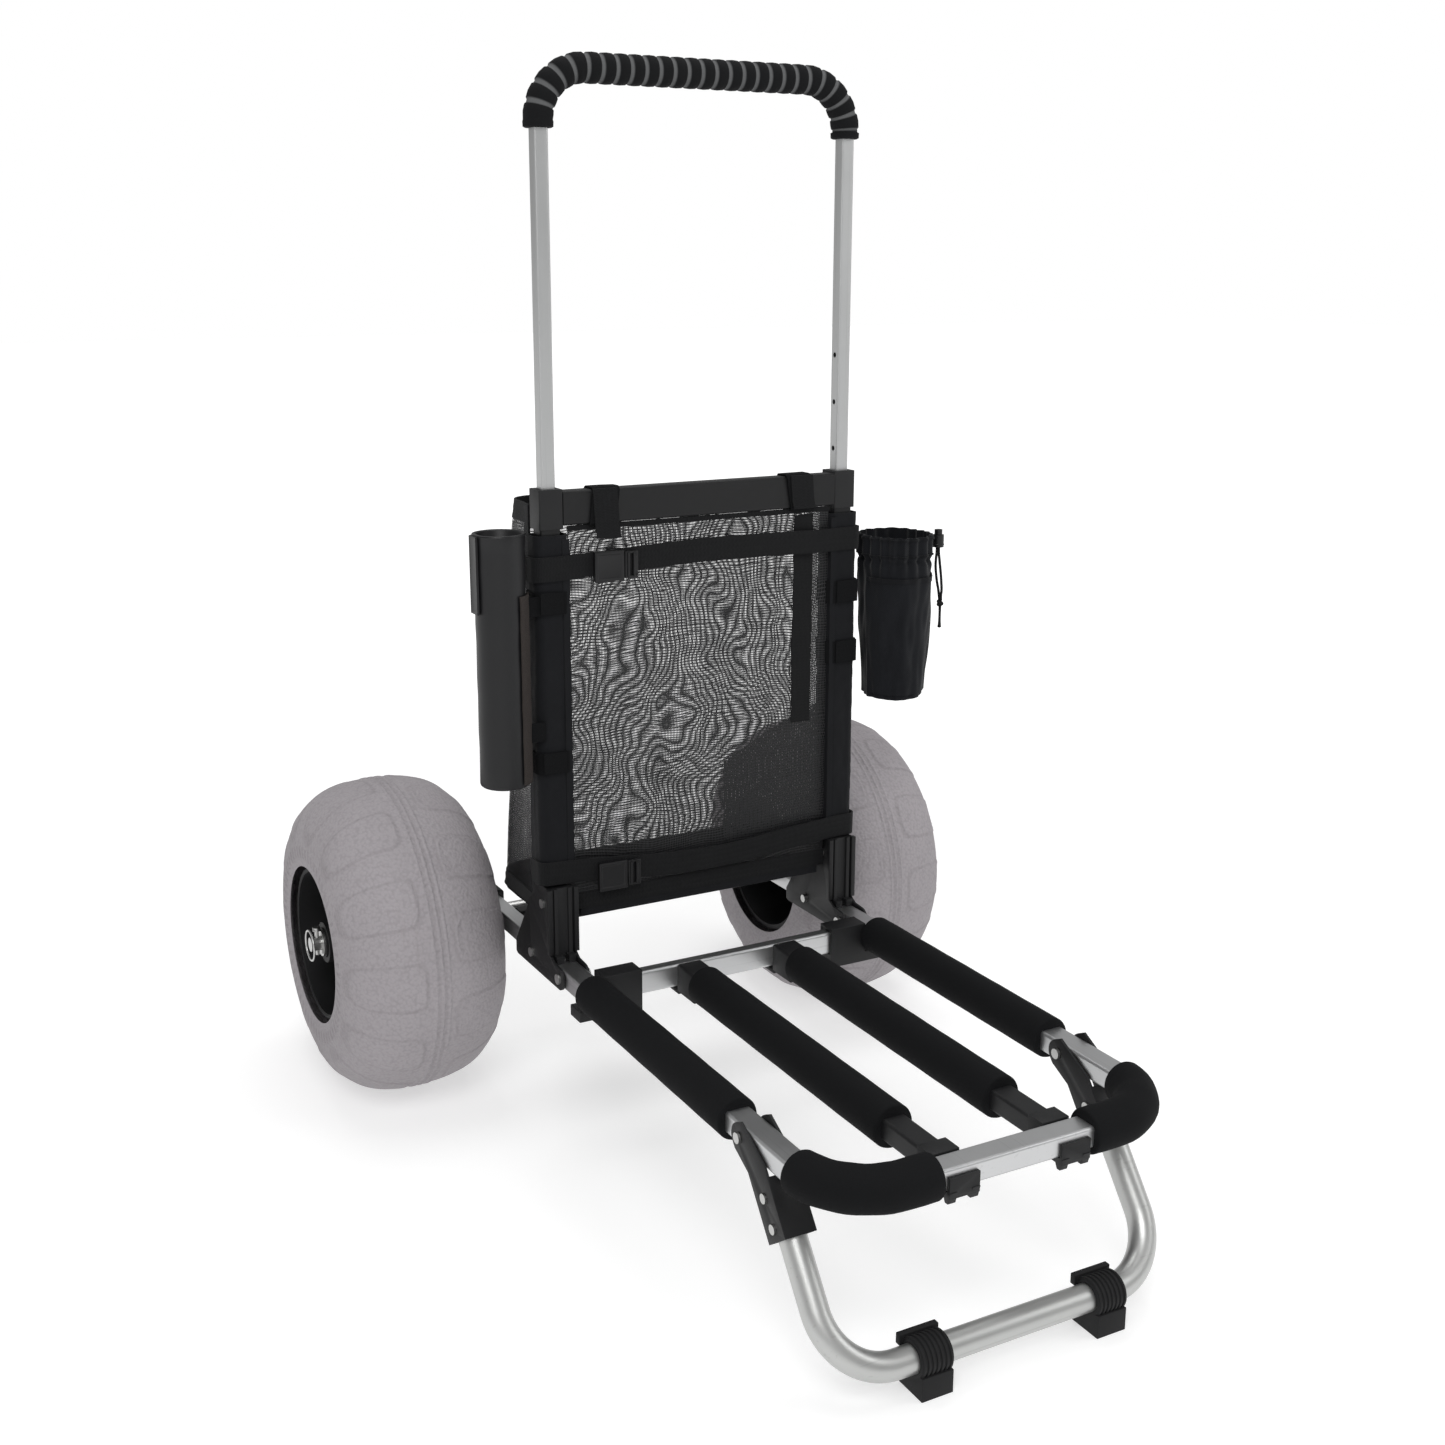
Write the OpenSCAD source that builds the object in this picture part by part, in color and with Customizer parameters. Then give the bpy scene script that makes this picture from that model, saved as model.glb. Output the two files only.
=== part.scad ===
// Folding beach cart: back frame on two balloon wheels, telescopic handle, foam-covered platform, folding leg.
// Millimetres, +Z up. The cart faces -Y, X runs across it, and the ground is Z = 0.

/* [Back frame] */
// Distance between the centre lines of the two posts
post_spacing = 348; // [340:1:356]
// Height of the post collars' top face
frame_h = 703; // [680:1:730]
// Outer width of the square post tube
post_w = 22; // [21:0.5:23]
// Height of the top bar
top_bar_h = 35; // [30:1:36]
// Depth of the top bar
top_bar_d = 18; // [16:1:20]

/* [Handle] */
// Height of the top of the grip with the handle fully out
handle_h = 1121; // [1080:1:1160]
// Outer width of the square handle tube
handle_w = 15; // [14:0.5:16]
// Outer diameter of the foam grip
grip_d = 29; // [26:1:32]
// Distance between two height holes
hole_pitch = 50; // [40:1:55]

/* [Platform] */
// Distance from the posts' centre to the front bar's centre
platform_reach = 561; // [540:1:580]
// Width of the rail tube
rail_w = 25; // [24:0.5:25]
// Height of the rail tube
rail_h = 20; // [18:1:20]
// Height of the rail tube's centre above the ground
rail_z = 193; // [190:1:196]
// Outer diameter of the rail foam
foam_d = 41; // [38:1:41]
// Distance between the centre lines of the two slats
slat_spacing = 117; // [110:1:120]

/* [Front leg] */
// Forward lean of the leg from vertical, in degrees
leg_tilt = 36.7; // [34:0.1:38]
// Outer diameter of the leg tube
leg_d = 25.4; // [25:0.1:25.4]
// Height of the leg's bottom bar above the ground
leg_bar_z = 32; // [30:1:34]

/* [Wheels] */
// Outer diameter of the tyre
wheel_d = 356; // [340:1:360]
// Width of the tyre
tyre_w = 188; // [180:1:190]
// Distance between the two wheels' centre planes
track = 580; // [576:1:590]
// Distance from the posts' centre back to the axle
axle_back = 209; // [205:1:215]
// Diameter of the axle
axle_d = 16; // [14:1:18]

/* [Bag] */
// Width of the bag
bag_w = 374; // [366:1:376]
// Depth of the bag at its bottom
bag_d = 141; // [130:1:145]

/* [Hidden] */

$fn = 64;
gap = 0.3;                                   // clearance between neighbours that move or are soft
wall = 1.5;                                  // wall of every drawn tube
corner_r = 3;                                // corner radius of the rectangular tubes
bolt_d = 6;                                  // shank of the hinge bolts
bolt_hole_d = bolt_d + 0.12;                 // running fit on those shanks

post_x = post_spacing / 2;
post_y = 99;                                 // puts the origin in the middle of the footprint
axle_y = post_y + axle_back;
axle_z = wheel_d / 2;
hinge_y = post_y - 43.5;
front_bar_y = post_y - platform_reach;
leg_pivot_y = post_y - 429;

collar_w = 26;
collar_d = 27;
collar_h = 40;
collar_z = frame_h - collar_h;
post_bottom_z = 212;
top_bar_z = frame_h - 2 - top_bar_h;         // underside of the top bar
peg_z = frame_h - 26;                        // height of the locking pegs
peg_d = 5;
peg_travel = 4;
handle_bottom_z = 590;
handle_top_z = handle_h - grip_d / 2;        // centre line of the handle's top run
handle_bend_r = 50;
handle_travel = 3 * hole_pitch;

bracket_gap = 26;                            // space between a bracket's two side plates
plate_t = 2.5;
bracket_w = bracket_gap + 2 * plate_t;
arm_w = 20;
arm_z = 197;                                 // centre height of the arms
rail_bend_r = 65;
crossbar_y = post_y - 82;                    // centre of the rear crossbar
crossbar_d = 15;
crossbar_h = 25;
slat_z = rail_z - 2.5;
slat_d = 42;
slat_x = slat_spacing / 2;
rail_foam_y = [leg_pivot_y + 29, crossbar_y - 12.5];
slat_foam_y = [post_y - 472, post_y - 118];
corner_foam_a = 84;                          // how far round the bend a corner foam goes
corner_foam_x = 80;                          // where it ends on the front bar

leg_offset = 14.5;                           // the leg tube's axis stands this far ahead of its pivot
leg_len = (rail_z - leg_bar_z + leg_offset * sin(leg_tilt)) / cos(leg_tilt);
leg_bar_y = leg_pivot_y - leg_offset * cos(leg_tilt) - leg_len * sin(leg_tilt);
leg_bend_r = 58;
foot_x = [-84, 104];

sleeve_z = [287, collar_z - 1];
strap_t = 1.6;
strap_w = 25;
sleeve_w = 38;
sleeve_d = 30;
sleeve_front_y = post_y - sleeve_d / 2;
upper_strap_z = 626;
lower_strap_z = 299;
buckle_x = -106;

rod_x = -226;
rod_z = [400, 662];
rod_r = 26;
pouch_x = 249;
pouch_y = post_y - 4;
pouch_z = [444, 628];
cord_d = 3;
lock_at = [304.5, 90, 618];

// ---------- shared shapes ----------

// Rectangle with round corners, centred
module round_rect(w, h, r) {
    square([w - 2 * r, h], center = true);
    square([w, h - 2 * r], center = true);
    for (x = [-1, 1], y = [-1, 1]) translate([x * (w / 2 - r), y * (h / 2 - r)]) circle(r, $fn = 24);
}

// Cross-section of a drawn rectangular tube
module tube_section(w, h, r = corner_r, t = wall) {
    difference() {
        round_rect(w, h, r);
        round_rect(w - 2 * t, h - 2 * t, r - t / 2);
    }
}

// Bar with a children section, from a to b along one axis
module along_x(a, b) { translate([a, 0, 0]) rotate([90, 0, 90]) linear_extrude(b - a) children(); }
module along_y(a, b) { translate([0, b, 0]) rotate([90, 0, 0]) linear_extrude(b - a) children(); }
module along_z(a, b) { translate([0, 0, a]) linear_extrude(b - a) children(); }

// Solid and hollow cylinders along X
module rod_x(d, a, b) { translate([a, 0, 0]) rotate([0, 90, 0]) cylinder(d = d, h = b - a); }

// U of a children section in the XY plane: base along X at Y = 0, arms towards +Y
module u_sweep(span, r, arm, base = true, from = 0) {
    if (base) along_x(-(span / 2 - r), span / 2 - r) children();
    for (s = [-1, 1]) {
        translate([s * (span / 2 - r), r, 0])
            rotate([0, 0, s > 0 ? -90 : 180]) rotate_extrude(angle = 90) translate([r, 0]) children();
        translate([s * span / 2, 0, 0]) along_y(r, arm) children();
    }
}

// Mirrors its children to the left side when side is -1
module on_side(side) { if (side < 0) mirror([1, 0, 0]) children(); else children(); }

// Button-head screw along X, head towards +X at x = at, shank of length l going inwards
module screw(at, d, l, head_d = 10, head_h = 2.5) {
    rod_x(d, at - l, at);
    rod_x(head_d, at, at + head_h);
}

// ---------- back frame ----------

module post() {
    difference() {
        translate([post_x, post_y, 0]) along_z(post_bottom_z, frame_h - 8) tube_section(post_w, post_w);
        translate([0, post_y, peg_z]) rod_x(peg_d + 1, post_x - post_w, post_x);
        translate([0, post_y - 4, 264]) rod_x(5.3, post_x - 20, post_x + 20);
    }
}
module post_left() { color("#1b1b1d") on_side(-1) post(); }
module post_right() { color("#1b1b1d") on_side(1) post(); }

// Moulded cap on a post, with a spigot that fills the end of the top bar
module collar() {
    clear = 0.1;
    difference() {
        union() {
            translate([post_x, post_y, 0]) along_z(collar_z, frame_h) round_rect(collar_w, collar_d, 2);
            translate([0, post_y - (collar_d - top_bar_d) / 2, top_bar_z + top_bar_h / 2])
                along_x(post_x - collar_w / 2 - 8, post_x - collar_w / 2 + 1)
                    square([top_bar_d - 2 * wall - 1, top_bar_h - 2 * wall - 1], center = true);
        }
        translate([post_x, post_y, 0]) along_z(collar_z - 1, frame_h - 8 + clear)
            round_rect(post_w + 2 * clear, post_w + 2 * clear, corner_r);
        translate([post_x, post_y, 0]) along_z(frame_h - 9, frame_h + 1)
            round_rect(handle_w + 0.4, handle_w + 0.4, 2);
        translate([0, post_y, peg_z]) rod_x(peg_d + 0.2, post_x - 40, post_x);
    }
}
module collar_left() { color("#202022") on_side(-1) collar(); }
module collar_right() { color("#202022") on_side(1) collar(); }

module top_bar() {
    half = post_x - collar_w / 2 - 0.05;
    bar_y = post_y - (collar_d - top_bar_d) / 2;
    color("#161617") difference() {
        translate([0, bar_y, top_bar_z + top_bar_h / 2]) along_x(-half, half)
            tube_section(top_bar_d, top_bar_h, 3);
        for (s = [-1, 1])
            translate([s * (half - 16), bar_y + top_bar_d / 2, peg_z]) cube([16, 8, 6.4], center = true);
    }
}

// Locking peg in the end of the top bar, drawn back, with the thumb tab behind the bar
module lock_peg() {
    tip = post_x - handle_w / 2 - gap;
    translate([0, post_y, peg_z]) rod_x(peg_d, tip - 26, tip);
    translate([tip - 26, post_y - 2, peg_z - 3]) cube([6, 12, 6]);
    translate([tip - 27, post_y + 5.5, peg_z - 6]) cube([8, 5, 12]);
}
module lock_peg_left() { color("#8d9094") on_side(-1) lock_peg(); }
module lock_peg_right() { color("#8d9094") on_side(1) lock_peg(); }

// Side plate of the bracket: post foot, arm seat and hinge boss, as Y and Z from the post
module bracket_outline() {
    polygon([[-20, 284], [13, 284], [34, 254], [74, 196], [74, 183], [70, 181], [-43.5, 181], [-52, 184.5],
             [-43.5, 205], [-30, 206], [-20, 212]]);
    translate([hinge_y - post_y, rail_z]) circle(12);
}

module bracket_plate(x, t) {
    translate([x, post_y, 0]) rotate([90, 0, 90]) linear_extrude(t) bracket_outline();
}

module side_bracket() {
    difference() {
        union() {
            bracket_plate(post_x - bracket_w / 2, plate_t);
            bracket_plate(post_x + bracket_gap / 2, plate_t);
            // socket block round the post's foot, open at the top
            translate([post_x - bracket_w / 2, post_y - 20, 207.5]) cube([bracket_w, 34, 76.5]);
            // ribs down the front of the socket
            for (x = [-1, 1]) translate([post_x + x * 8 - 2, post_y - 23, 210]) cube([4, 4, 74]);
            // flanges on the two front edges
            for (x = [-1, 1]) translate([post_x + x * (bracket_w / 2 - 0.5) - 2.5, post_y - 24, 212])
                cube([5, 5, 72]);
            // lugs that the rail's end rests under
            for (x = [-1, 1]) translate([post_x + x * 7 - 4, post_y - 30, rail_z + rail_h / 2 + gap])
                cube([8, 11, 8]);
            // web over the arm
            translate([post_x - bracket_w / 2, post_y + 14, arm_z + arm_w / 2 + gap])
                cube([bracket_w, 24, 4]);
            translate([post_x - bracket_w / 2, post_y - 4, arm_z - arm_w / 2 - 4])
                cube([bracket_w, 74, 3.8]);
        }
        translate([post_x, post_y, 0]) along_z(post_bottom_z - 0.2, 290)
            round_rect(post_w + 0.2, post_w + 0.2, corner_r);
        translate([0, hinge_y, rail_z]) rod_x(bolt_hole_d, post_x - 20, post_x + 20);
        translate([0, post_y - 4, 264]) rod_x(5.3, post_x - 20, post_x + 20);
        translate([0, post_y + 30, arm_z]) rod_x(5.3, post_x - 20, post_x + 20);
    }
}
module side_bracket_left() { color("#151517") on_side(-1) side_bracket(); }
module side_bracket_right() { color("#151517") on_side(1) side_bracket(); }

module arm() {
    difference() {
        translate([post_x, 0, arm_z]) along_y(post_y - 4, axle_y + 18) tube_section(arm_w, arm_w);
        translate([0, post_y + 30, arm_z]) rod_x(5.3, post_x - 20, post_x + 20);
    }
}
module arm_left() { color("#c3c5c6") on_side(-1) arm(); }
module arm_right() { color("#c3c5c6") on_side(1) arm(); }

module rear_cross_tube() {
    half = post_x - arm_w / 2 - 0.05;
    color("#1a1a1b") translate([0, post_y + 131, arm_z]) along_x(-half, half) tube_section(20, 20);
}

// Moulded end blocks that close the arms and carry the axle under them
module axle_blocks() {
    color("#141415") for (s = [-1, 1]) on_side(s) difference() {
        translate([post_x, 0, arm_z - 8]) along_y(axle_y - 24, axle_y + 22) round_rect(29, 48, 4);
        translate([post_x, 0, arm_z]) along_y(axle_y - 30, axle_y + 18.1) round_rect(20.2, 20.2, corner_r);
        translate([0, axle_y, axle_z]) rod_x(axle_d + 0.2, post_x - 20, post_x + 20);
    }
}

axle_half = track / 2 + 94;
pin_x = track / 2 + 86;
module axle() {
    color("#b9bcc0") difference() {
        translate([0, axle_y, axle_z]) rod_x(axle_d, -axle_half, axle_half);
        for (s = [-1, 1]) translate([s * pin_x, axle_y, axle_z]) cylinder(d = 5, h = 40, center = true);
    }
}

module axle_washers() {
    color("#a9acb0") for (s = [-1, 1]) on_side(s) translate([0, axle_y, axle_z]) {
        difference() { rod_x(30, pin_x - 6, pin_x - 4); rod_x(axle_d + 0.2, pin_x - 7, pin_x); }
        difference() { rod_x(30, track / 2 - 88, track / 2 - 85); rod_x(axle_d + 0.2, track / 2 - 90, track / 2); }
    }
}

// Linchpins: shank through the axle, with the spring ring swung down over its end
module linchpins() {
    color("#c9cccf") for (s = [-1, 1]) on_side(s) translate([pin_x, axle_y, axle_z]) {
        translate([0, 0, -13]) cylinder(d = 4.8, h = 30);
        translate([0, 0, 15.5]) cylinder(d = 9, h = 4);
        translate([8, 0, -1]) rotate([0, 90, 0]) rotate_extrude() translate([17, 0]) circle(1.2, $fn = 16);
    }
}

module frame_screws() {
    color("#c4c6c8") for (s = [-1, 1]) on_side(s) {
        for (p = [[post_y - 4, 264], [post_y + 30, arm_z]]) translate([0, p[0], p[1]]) {
            screw(post_x + bracket_w / 2, 5, bracket_w, 10, 2);
            rod_x(9, post_x - bracket_w / 2 - 4, post_x - bracket_w / 2);
        }
    }
}

module hinge_bolts() {
    color("#c4c6c8") for (s = [-1, 1]) on_side(s) translate([0, hinge_y, rail_z]) {
        screw(post_x + bracket_w / 2, bolt_d, bracket_w, 11, 2.5);
        rod_x(11, post_x - bracket_w / 2 - 4, post_x - bracket_w / 2);
    }
}

// ---------- handle ----------

module handle_tube() {
    arm = handle_top_z - handle_bottom_z;
    color("#c6c8ca") difference() {
        translate([0, post_y, handle_top_z]) rotate([-90, 0, 0])
            u_sweep(post_spacing, handle_bend_r, arm) tube_section(handle_w, handle_w, 2.2);
        for (s = [-1, 1], k = [0:3]) translate([s * (post_x - handle_w / 2), post_y, peg_z + k * hole_pitch])
            rod_x(peg_d + 0.6, -4, 4);
    }
}

// Foam grip over the bent top of the handle, with plain thicker cuffs
module handle_grip() {
    cuff_z = handle_top_z - handle_bend_r;
    color("#1c1d1e") translate([0, post_y, handle_top_z]) rotate([-90, 0, 0])
        u_sweep(post_spacing, handle_bend_r, handle_bend_r + 1) difference() {
            circle(d = grip_d, $fn = 32);
            round_rect(handle_w + 0.2, handle_w + 0.2, 2.2);
        }
    color("#1c1d1e") for (s = [-1, 1]) translate([s * post_x, post_y, 0]) along_z(cuff_z - 4, cuff_z - 1)
        difference() {
            circle(d = grip_d, $fn = 32);
            round_rect(handle_w + 0.2, handle_w + 0.2, 2.2);
        }
}

// Plugs in the handle tube's lower ends
module handle_plugs() {
    color("#101011") for (s = [-1, 1]) translate([s * post_x, post_y, 0]) {
        along_z(handle_bottom_z - 4, handle_bottom_z) round_rect(post_w - 2 * wall - 0.8, post_w - 2 * wall - 0.8, 2);
        along_z(handle_bottom_z, handle_bottom_z + 12) round_rect(handle_w - 2 * wall - 0.1, handle_w - 2 * wall - 0.1, 1.4);
    }
}

// ---------- platform ----------

module rail_path() { translate([0, front_bar_y, rail_z]) children(); }

module platform_rail() {
    color("#c6c8ca") difference() {
        rail_path() u_sweep(post_spacing, rail_bend_r, post_y - 25 - front_bar_y) tube_section(rail_w, rail_h);
        for (y = [hinge_y, leg_pivot_y]) translate([0, y, rail_z]) rod_x(bolt_hole_d, -post_x - 20, post_x + 20);
    }
}

module rear_crossbar() {
    half = post_x - rail_w / 2 - 3;
    color("#c9cbcc") translate([0, crossbar_y, rail_z + rail_h / 2 - crossbar_h / 2])
        along_x(-half, half) tube_section(crossbar_d, crossbar_h);
}

// Moulded sockets that join the rear crossbar to the rails
module crossbar_sockets() {
    z_mid = rail_z + rail_h / 2 - crossbar_h / 2;
    color("#17171a") for (s = [-1, 1]) on_side(s) difference() {
        union() {
            translate([0, crossbar_y, z_mid - 3.5]) along_x(post_x - 69, post_x - rail_w / 2 - 0.1)
                round_rect(24, 40, 2);
            translate([post_x, 0, rail_z - 2]) along_y(crossbar_y - 12, crossbar_y + 12) round_rect(32, 34, 3);
            translate([post_x + 2, crossbar_y, rail_z - 24]) cylinder(d = 15, h = 8);
        }
        translate([post_x, 0, rail_z]) along_y(crossbar_y - 20, crossbar_y + 20)
            round_rect(rail_w + 0.2, rail_h + 0.2, corner_r);
        translate([0, crossbar_y, z_mid]) along_x(post_x - 80, post_x - rail_w / 2 - 2.9)
            round_rect(crossbar_d + 0.2, crossbar_h + 0.2, corner_r);
        translate([post_x, crossbar_y, rail_z + rail_h / 2 + 5]) cube([rail_w - 6, 30, 10], center = true);
    }
}

module slat_tubes() {
    color("#232325") for (s = [-1, 1]) translate([s * slat_x, 0, slat_z])
        along_y(front_bar_y + rail_w / 2 + gap, crossbar_y - 20) tube_section(24, 20);
}

// Sockets that carry the slats' rear ends on the crossbar
module slat_sockets() {
    front = crossbar_y - 42;
    color("#17171a") for (s = [-1, 1]) translate([s * slat_x, 0, 0]) difference() {
        union() {
            translate([0, 0, slat_z - 3]) along_y(front, crossbar_y - crossbar_d / 2 - 0.05) round_rect(29, 32, 3);
            translate([-14.5, crossbar_y - 10, slat_z - 20]) cube([29, 22, 3.4]);
        }
        translate([0, 0, slat_z]) along_y(front - 1, crossbar_y - 19.9) round_rect(24.2, 20.2, corner_r);
    }
}

// Clips that hook the slats' front ends under and round the front bar
module slat_clips() {
    front = front_bar_y - rail_w / 2;
    under = rail_z - rail_h / 2;
    color("#17171a") for (s = [-1, 1]) translate([s * slat_x, 0, 0]) difference() {
        union() {
            translate([-15.5, front - 3.2, under - 6]) cube([31, 3, 19]);
            translate([-15.5, front - 3.2, under - 6]) cube([31, rail_w + 22, 5.8]);
            for (x = [-1, 1]) translate([x * 11.5, 0, 0]) rotate([90, 0, 90])
                linear_extrude(8, center = true)
                    polygon([[front - 4, under - 0.2], [front + 8, under - 0.2], [front + 3, under - 11],
                             [front - 1, under - 11]]);
            translate([-14.5, front_bar_y + rail_w / 2 + gap, slat_z - 15.8]) cube([29, 20, 29]);
        }
        translate([0, 0, slat_z]) along_y(front_bar_y + rail_w / 2 + 0.1, front_bar_y + 60)
            round_rect(24.2, 20.2, corner_r);
        translate([-20, front, under - 0.2]) cube([40, rail_w + 0.2, rail_h + 10]);
    }
}

module foam_section(d, w, h) {
    difference() {
        circle(d = d, $fn = 48);
        round_rect(w + 0.2, h + 0.2, corner_r);
    }
}

module rail_foam(side) {
    color("#17181a") translate([side * post_x, 0, rail_z]) along_y(rail_foam_y[0], rail_foam_y[1])
        foam_section(foam_d, rail_w, rail_h);
}
module rail_foam_left() { rail_foam(-1); }
module rail_foam_right() { rail_foam(1); }

// Foam round one front corner of the rail
module corner_foam() {
    c_x = post_x - rail_bend_r;
    translate([0, front_bar_y, rail_z]) along_x(corner_foam_x, c_x) foam_section(foam_d, rail_w, rail_h);
    translate([c_x, front_bar_y + rail_bend_r, rail_z]) rotate([0, 0, -90])
        rotate_extrude(angle = corner_foam_a) translate([rail_bend_r, 0]) foam_section(foam_d, rail_w, rail_h);
}
module corner_foam_left() { color("#17181a") on_side(-1) corner_foam(); }
module corner_foam_right() { color("#17181a") on_side(1) corner_foam(); }

module slat_foam(side) {
    color("#17181a") translate([side * slat_x, 0, slat_z]) along_y(slat_foam_y[0], crossbar_y - 42.3)
        foam_section(slat_d, 24, 20);
}
module slat_foam_left() { slat_foam(-1); }
module slat_foam_right() { slat_foam(1); }

module leg_pivot_bolts() {
    color("#c4c6c8") for (s = [-1, 1]) on_side(s) translate([0, leg_pivot_y, rail_z]) {
        screw(post_x + bracket_w / 2 + gap, bolt_d, bracket_w + 2 * gap, 10, 2.5);
        rod_x(10, post_x - bracket_w / 2 - gap - 3, post_x - bracket_w / 2 - gap);
    }
}

// ---------- front leg ----------

// Frame of the leg: origin on its pivot, -Z down the leg, -Y to its front
module leg_frame() { translate([0, leg_pivot_y, rail_z]) rotate([-leg_tilt, 0, 0]) children(); }

rivet_s = [55, 81];                          // distances of the leg rivets from the pivot
module leg_tube() {
    color("#c2c4c6") difference() {
        leg_frame() translate([0, -leg_offset, -leg_len]) rotate([90, 0, 0])
            u_sweep(post_spacing, leg_bend_r, leg_len - 46) difference() {
                circle(d = leg_d, $fn = 48);
                circle(d = leg_d - 2 * wall, $fn = 48);
            }
        leg_frame() for (s = rivet_s) translate([0, -leg_offset, -s]) rod_x(4.9, -post_x - 20, post_x + 20);
    }
}

// Moulded leg bracket: two plates from the pivot boss to a channel round the leg tube
module leg_bracket_plate(x) {
    translate([x, 0, 0]) rotate([90, 0, 90]) linear_extrude(plate_t) {
        circle(13);
        polygon([[-1, 13], [-12, 11], [-31, -30], [-31, -92], [1.5, -92], [1.5, -30], [13, -6], [13, 0]]);
    }
}
module leg_brackets() {
    channel_top = -40;
    color("#151517") for (s = [-1, 1]) on_side(s) leg_frame() difference() {
        union() {
            leg_bracket_plate(post_x - bracket_w / 2);
            leg_bracket_plate(post_x + bracket_gap / 2);
            translate([post_x - bracket_w / 2, -31, -92]) cube([bracket_w, 32.5, 92 + channel_top]);
        }
        translate([post_x, -leg_offset, -100]) cylinder(d = leg_d + 0.2, h = 100);
        rod_x(bolt_hole_d, post_x - 20, post_x + 20);
        for (p = rivet_s) translate([0, -leg_offset, -p]) rod_x(4.9, post_x - 20, post_x + 20);
    }
}

module leg_rivets() {
    color("#c8cacc") for (s = [-1, 1]) on_side(s) leg_frame() for (p = rivet_s)
        translate([0, -leg_offset, -p]) {
            screw(post_x + bracket_w / 2, 4.8, bracket_w, 9, 1.8);
            rod_x(9, post_x - bracket_w / 2 - 1.8, post_x - bracket_w / 2);
        }
}

// Rubber saddle feet: flat sole, ribbed band over the bar and a lip behind it
module leg_feet() {
    foot_w = 32;
    ribs = 7;
    color("#141415") for (x = foot_x) translate([x, leg_bar_y, 0]) difference() {
        union() {
            translate([-foot_w / 2, -17, 0]) cube([foot_w, 34, 22]);
            translate([0, 0, leg_bar_z]) rod_x(leg_d + 8, -foot_w / 2, foot_w / 2);
            for (k = [0:ribs - 1]) translate([0, 0, leg_bar_z])
                rod_x(leg_d + 10.4, -foot_w / 2 + 1 + k * 4.6, -foot_w / 2 + 3.4 + k * 4.6);
            translate([-foot_w / 2 - 4, 12, leg_bar_z + 6]) cube([foot_w + 8, 6, 10]);
        }
        translate([0, 0, leg_bar_z]) rod_x(leg_d + 0.1, -40, 40);
    }
}

// ---------- wheels ----------

rim_r = 86;                                  // radius of the tyre's hub opening
rim_w = 168;
tyre_mid_r = 104;                            // radius where the tyre is widest
crown = wheel_d / 2 - tyre_mid_r;

// Half profile of the balloon tyre: a superellipse from the crown round to the bead
function tyre_point(a, t = 0) = [tyre_mid_r + (crown - t) * sign(cos(a)) * pow(abs(cos(a)), 0.9),
                                 (tyre_w / 2 - t) * sign(sin(a)) * pow(abs(sin(a)), 0.8)];
bead_angle = 96;
tyre_t = 5;
module tyre(side) {
    on_side(side) translate([track / 2, axle_y, axle_z]) rotate([0, 90, 0]) rotate_extrude($fn = 96)
        polygon(concat([for (a = [-bead_angle:8:bead_angle]) tyre_point(a)],
                       [[rim_r + 0.2, tyre_w / 2 - 5], [rim_r + 0.2, tyre_w / 2 - 14]],
                       [for (a = [bead_angle:-8:-bead_angle]) tyre_point(a, tyre_t)],
                       [[rim_r + 0.2, 14 - tyre_w / 2], [rim_r + 0.2, 5 - tyre_w / 2]]));
}
module tyre_left() { color("#8f898b") tyre(-1); }
module tyre_right() { color("#8f898b") tyre(1); }

bush_d = 26;
hub_d = 46;
// Rim: barrel, dished web and hub, turned about the axle
module rim(side) {
    web = 10;
    on_side(side) translate([track / 2, axle_y, axle_z]) rotate([0, 90, 0]) {
        rotate_extrude($fn = 96) polygon([
            [bush_d / 2, -84], [hub_d / 2, -84], [hub_d / 2, 8], [rim_r - 5, 24], [rim_r - 5, -rim_w / 2],
            [rim_r, -rim_w / 2], [rim_r, rim_w / 2], [rim_r - 5, rim_w / 2], [rim_r - 5, 34],
            [hub_d / 2, 18], [hub_d / 2, 78], [bush_d / 2, 78]]);
        for (k = [0:5]) rotate([0, 0, k * 60]) translate([hub_d / 2 - 1, -2, 17])
            rotate([90, 0, 0]) translate([0, 0, -4]) linear_extrude(4)
                polygon([[0, 0], [rim_r - hub_d / 2 - 2, 16], [rim_r - hub_d / 2 - 2, 30], [0, 46]]);
    }
}
module rim_left() { color("#141416") rim(-1); }
module rim_right() { color("#141416") rim(1); }

module hub_bush(side) {
    on_side(side) translate([track / 2, axle_y, axle_z]) difference() {
        union() {
            rod_x(bush_d, -84, 78);
            rod_x(34, 78, 79.7);
        }
        rod_x(axle_d + 0.12, -90, 90);
    }
}
module hub_bush_left() { color("#0f0f10") hub_bush(-1); }
module hub_bush_right() { color("#0f0f10") hub_bush(1); }

// ---------- soft goods ----------

module post_sleeve() {
    translate([post_x, post_y, 0]) along_z(sleeve_z[0], sleeve_z[1]) difference() {
        round_rect(sleeve_w, sleeve_d, 5);
        round_rect(post_w + 0.6, post_w + 0.6, corner_r);
    }
}
module post_sleeve_left() { color("#1a1b1d") on_side(-1) post_sleeve(); }
module post_sleeve_right() { color("#1a1b1d") on_side(1) post_sleeve(); }

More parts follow.
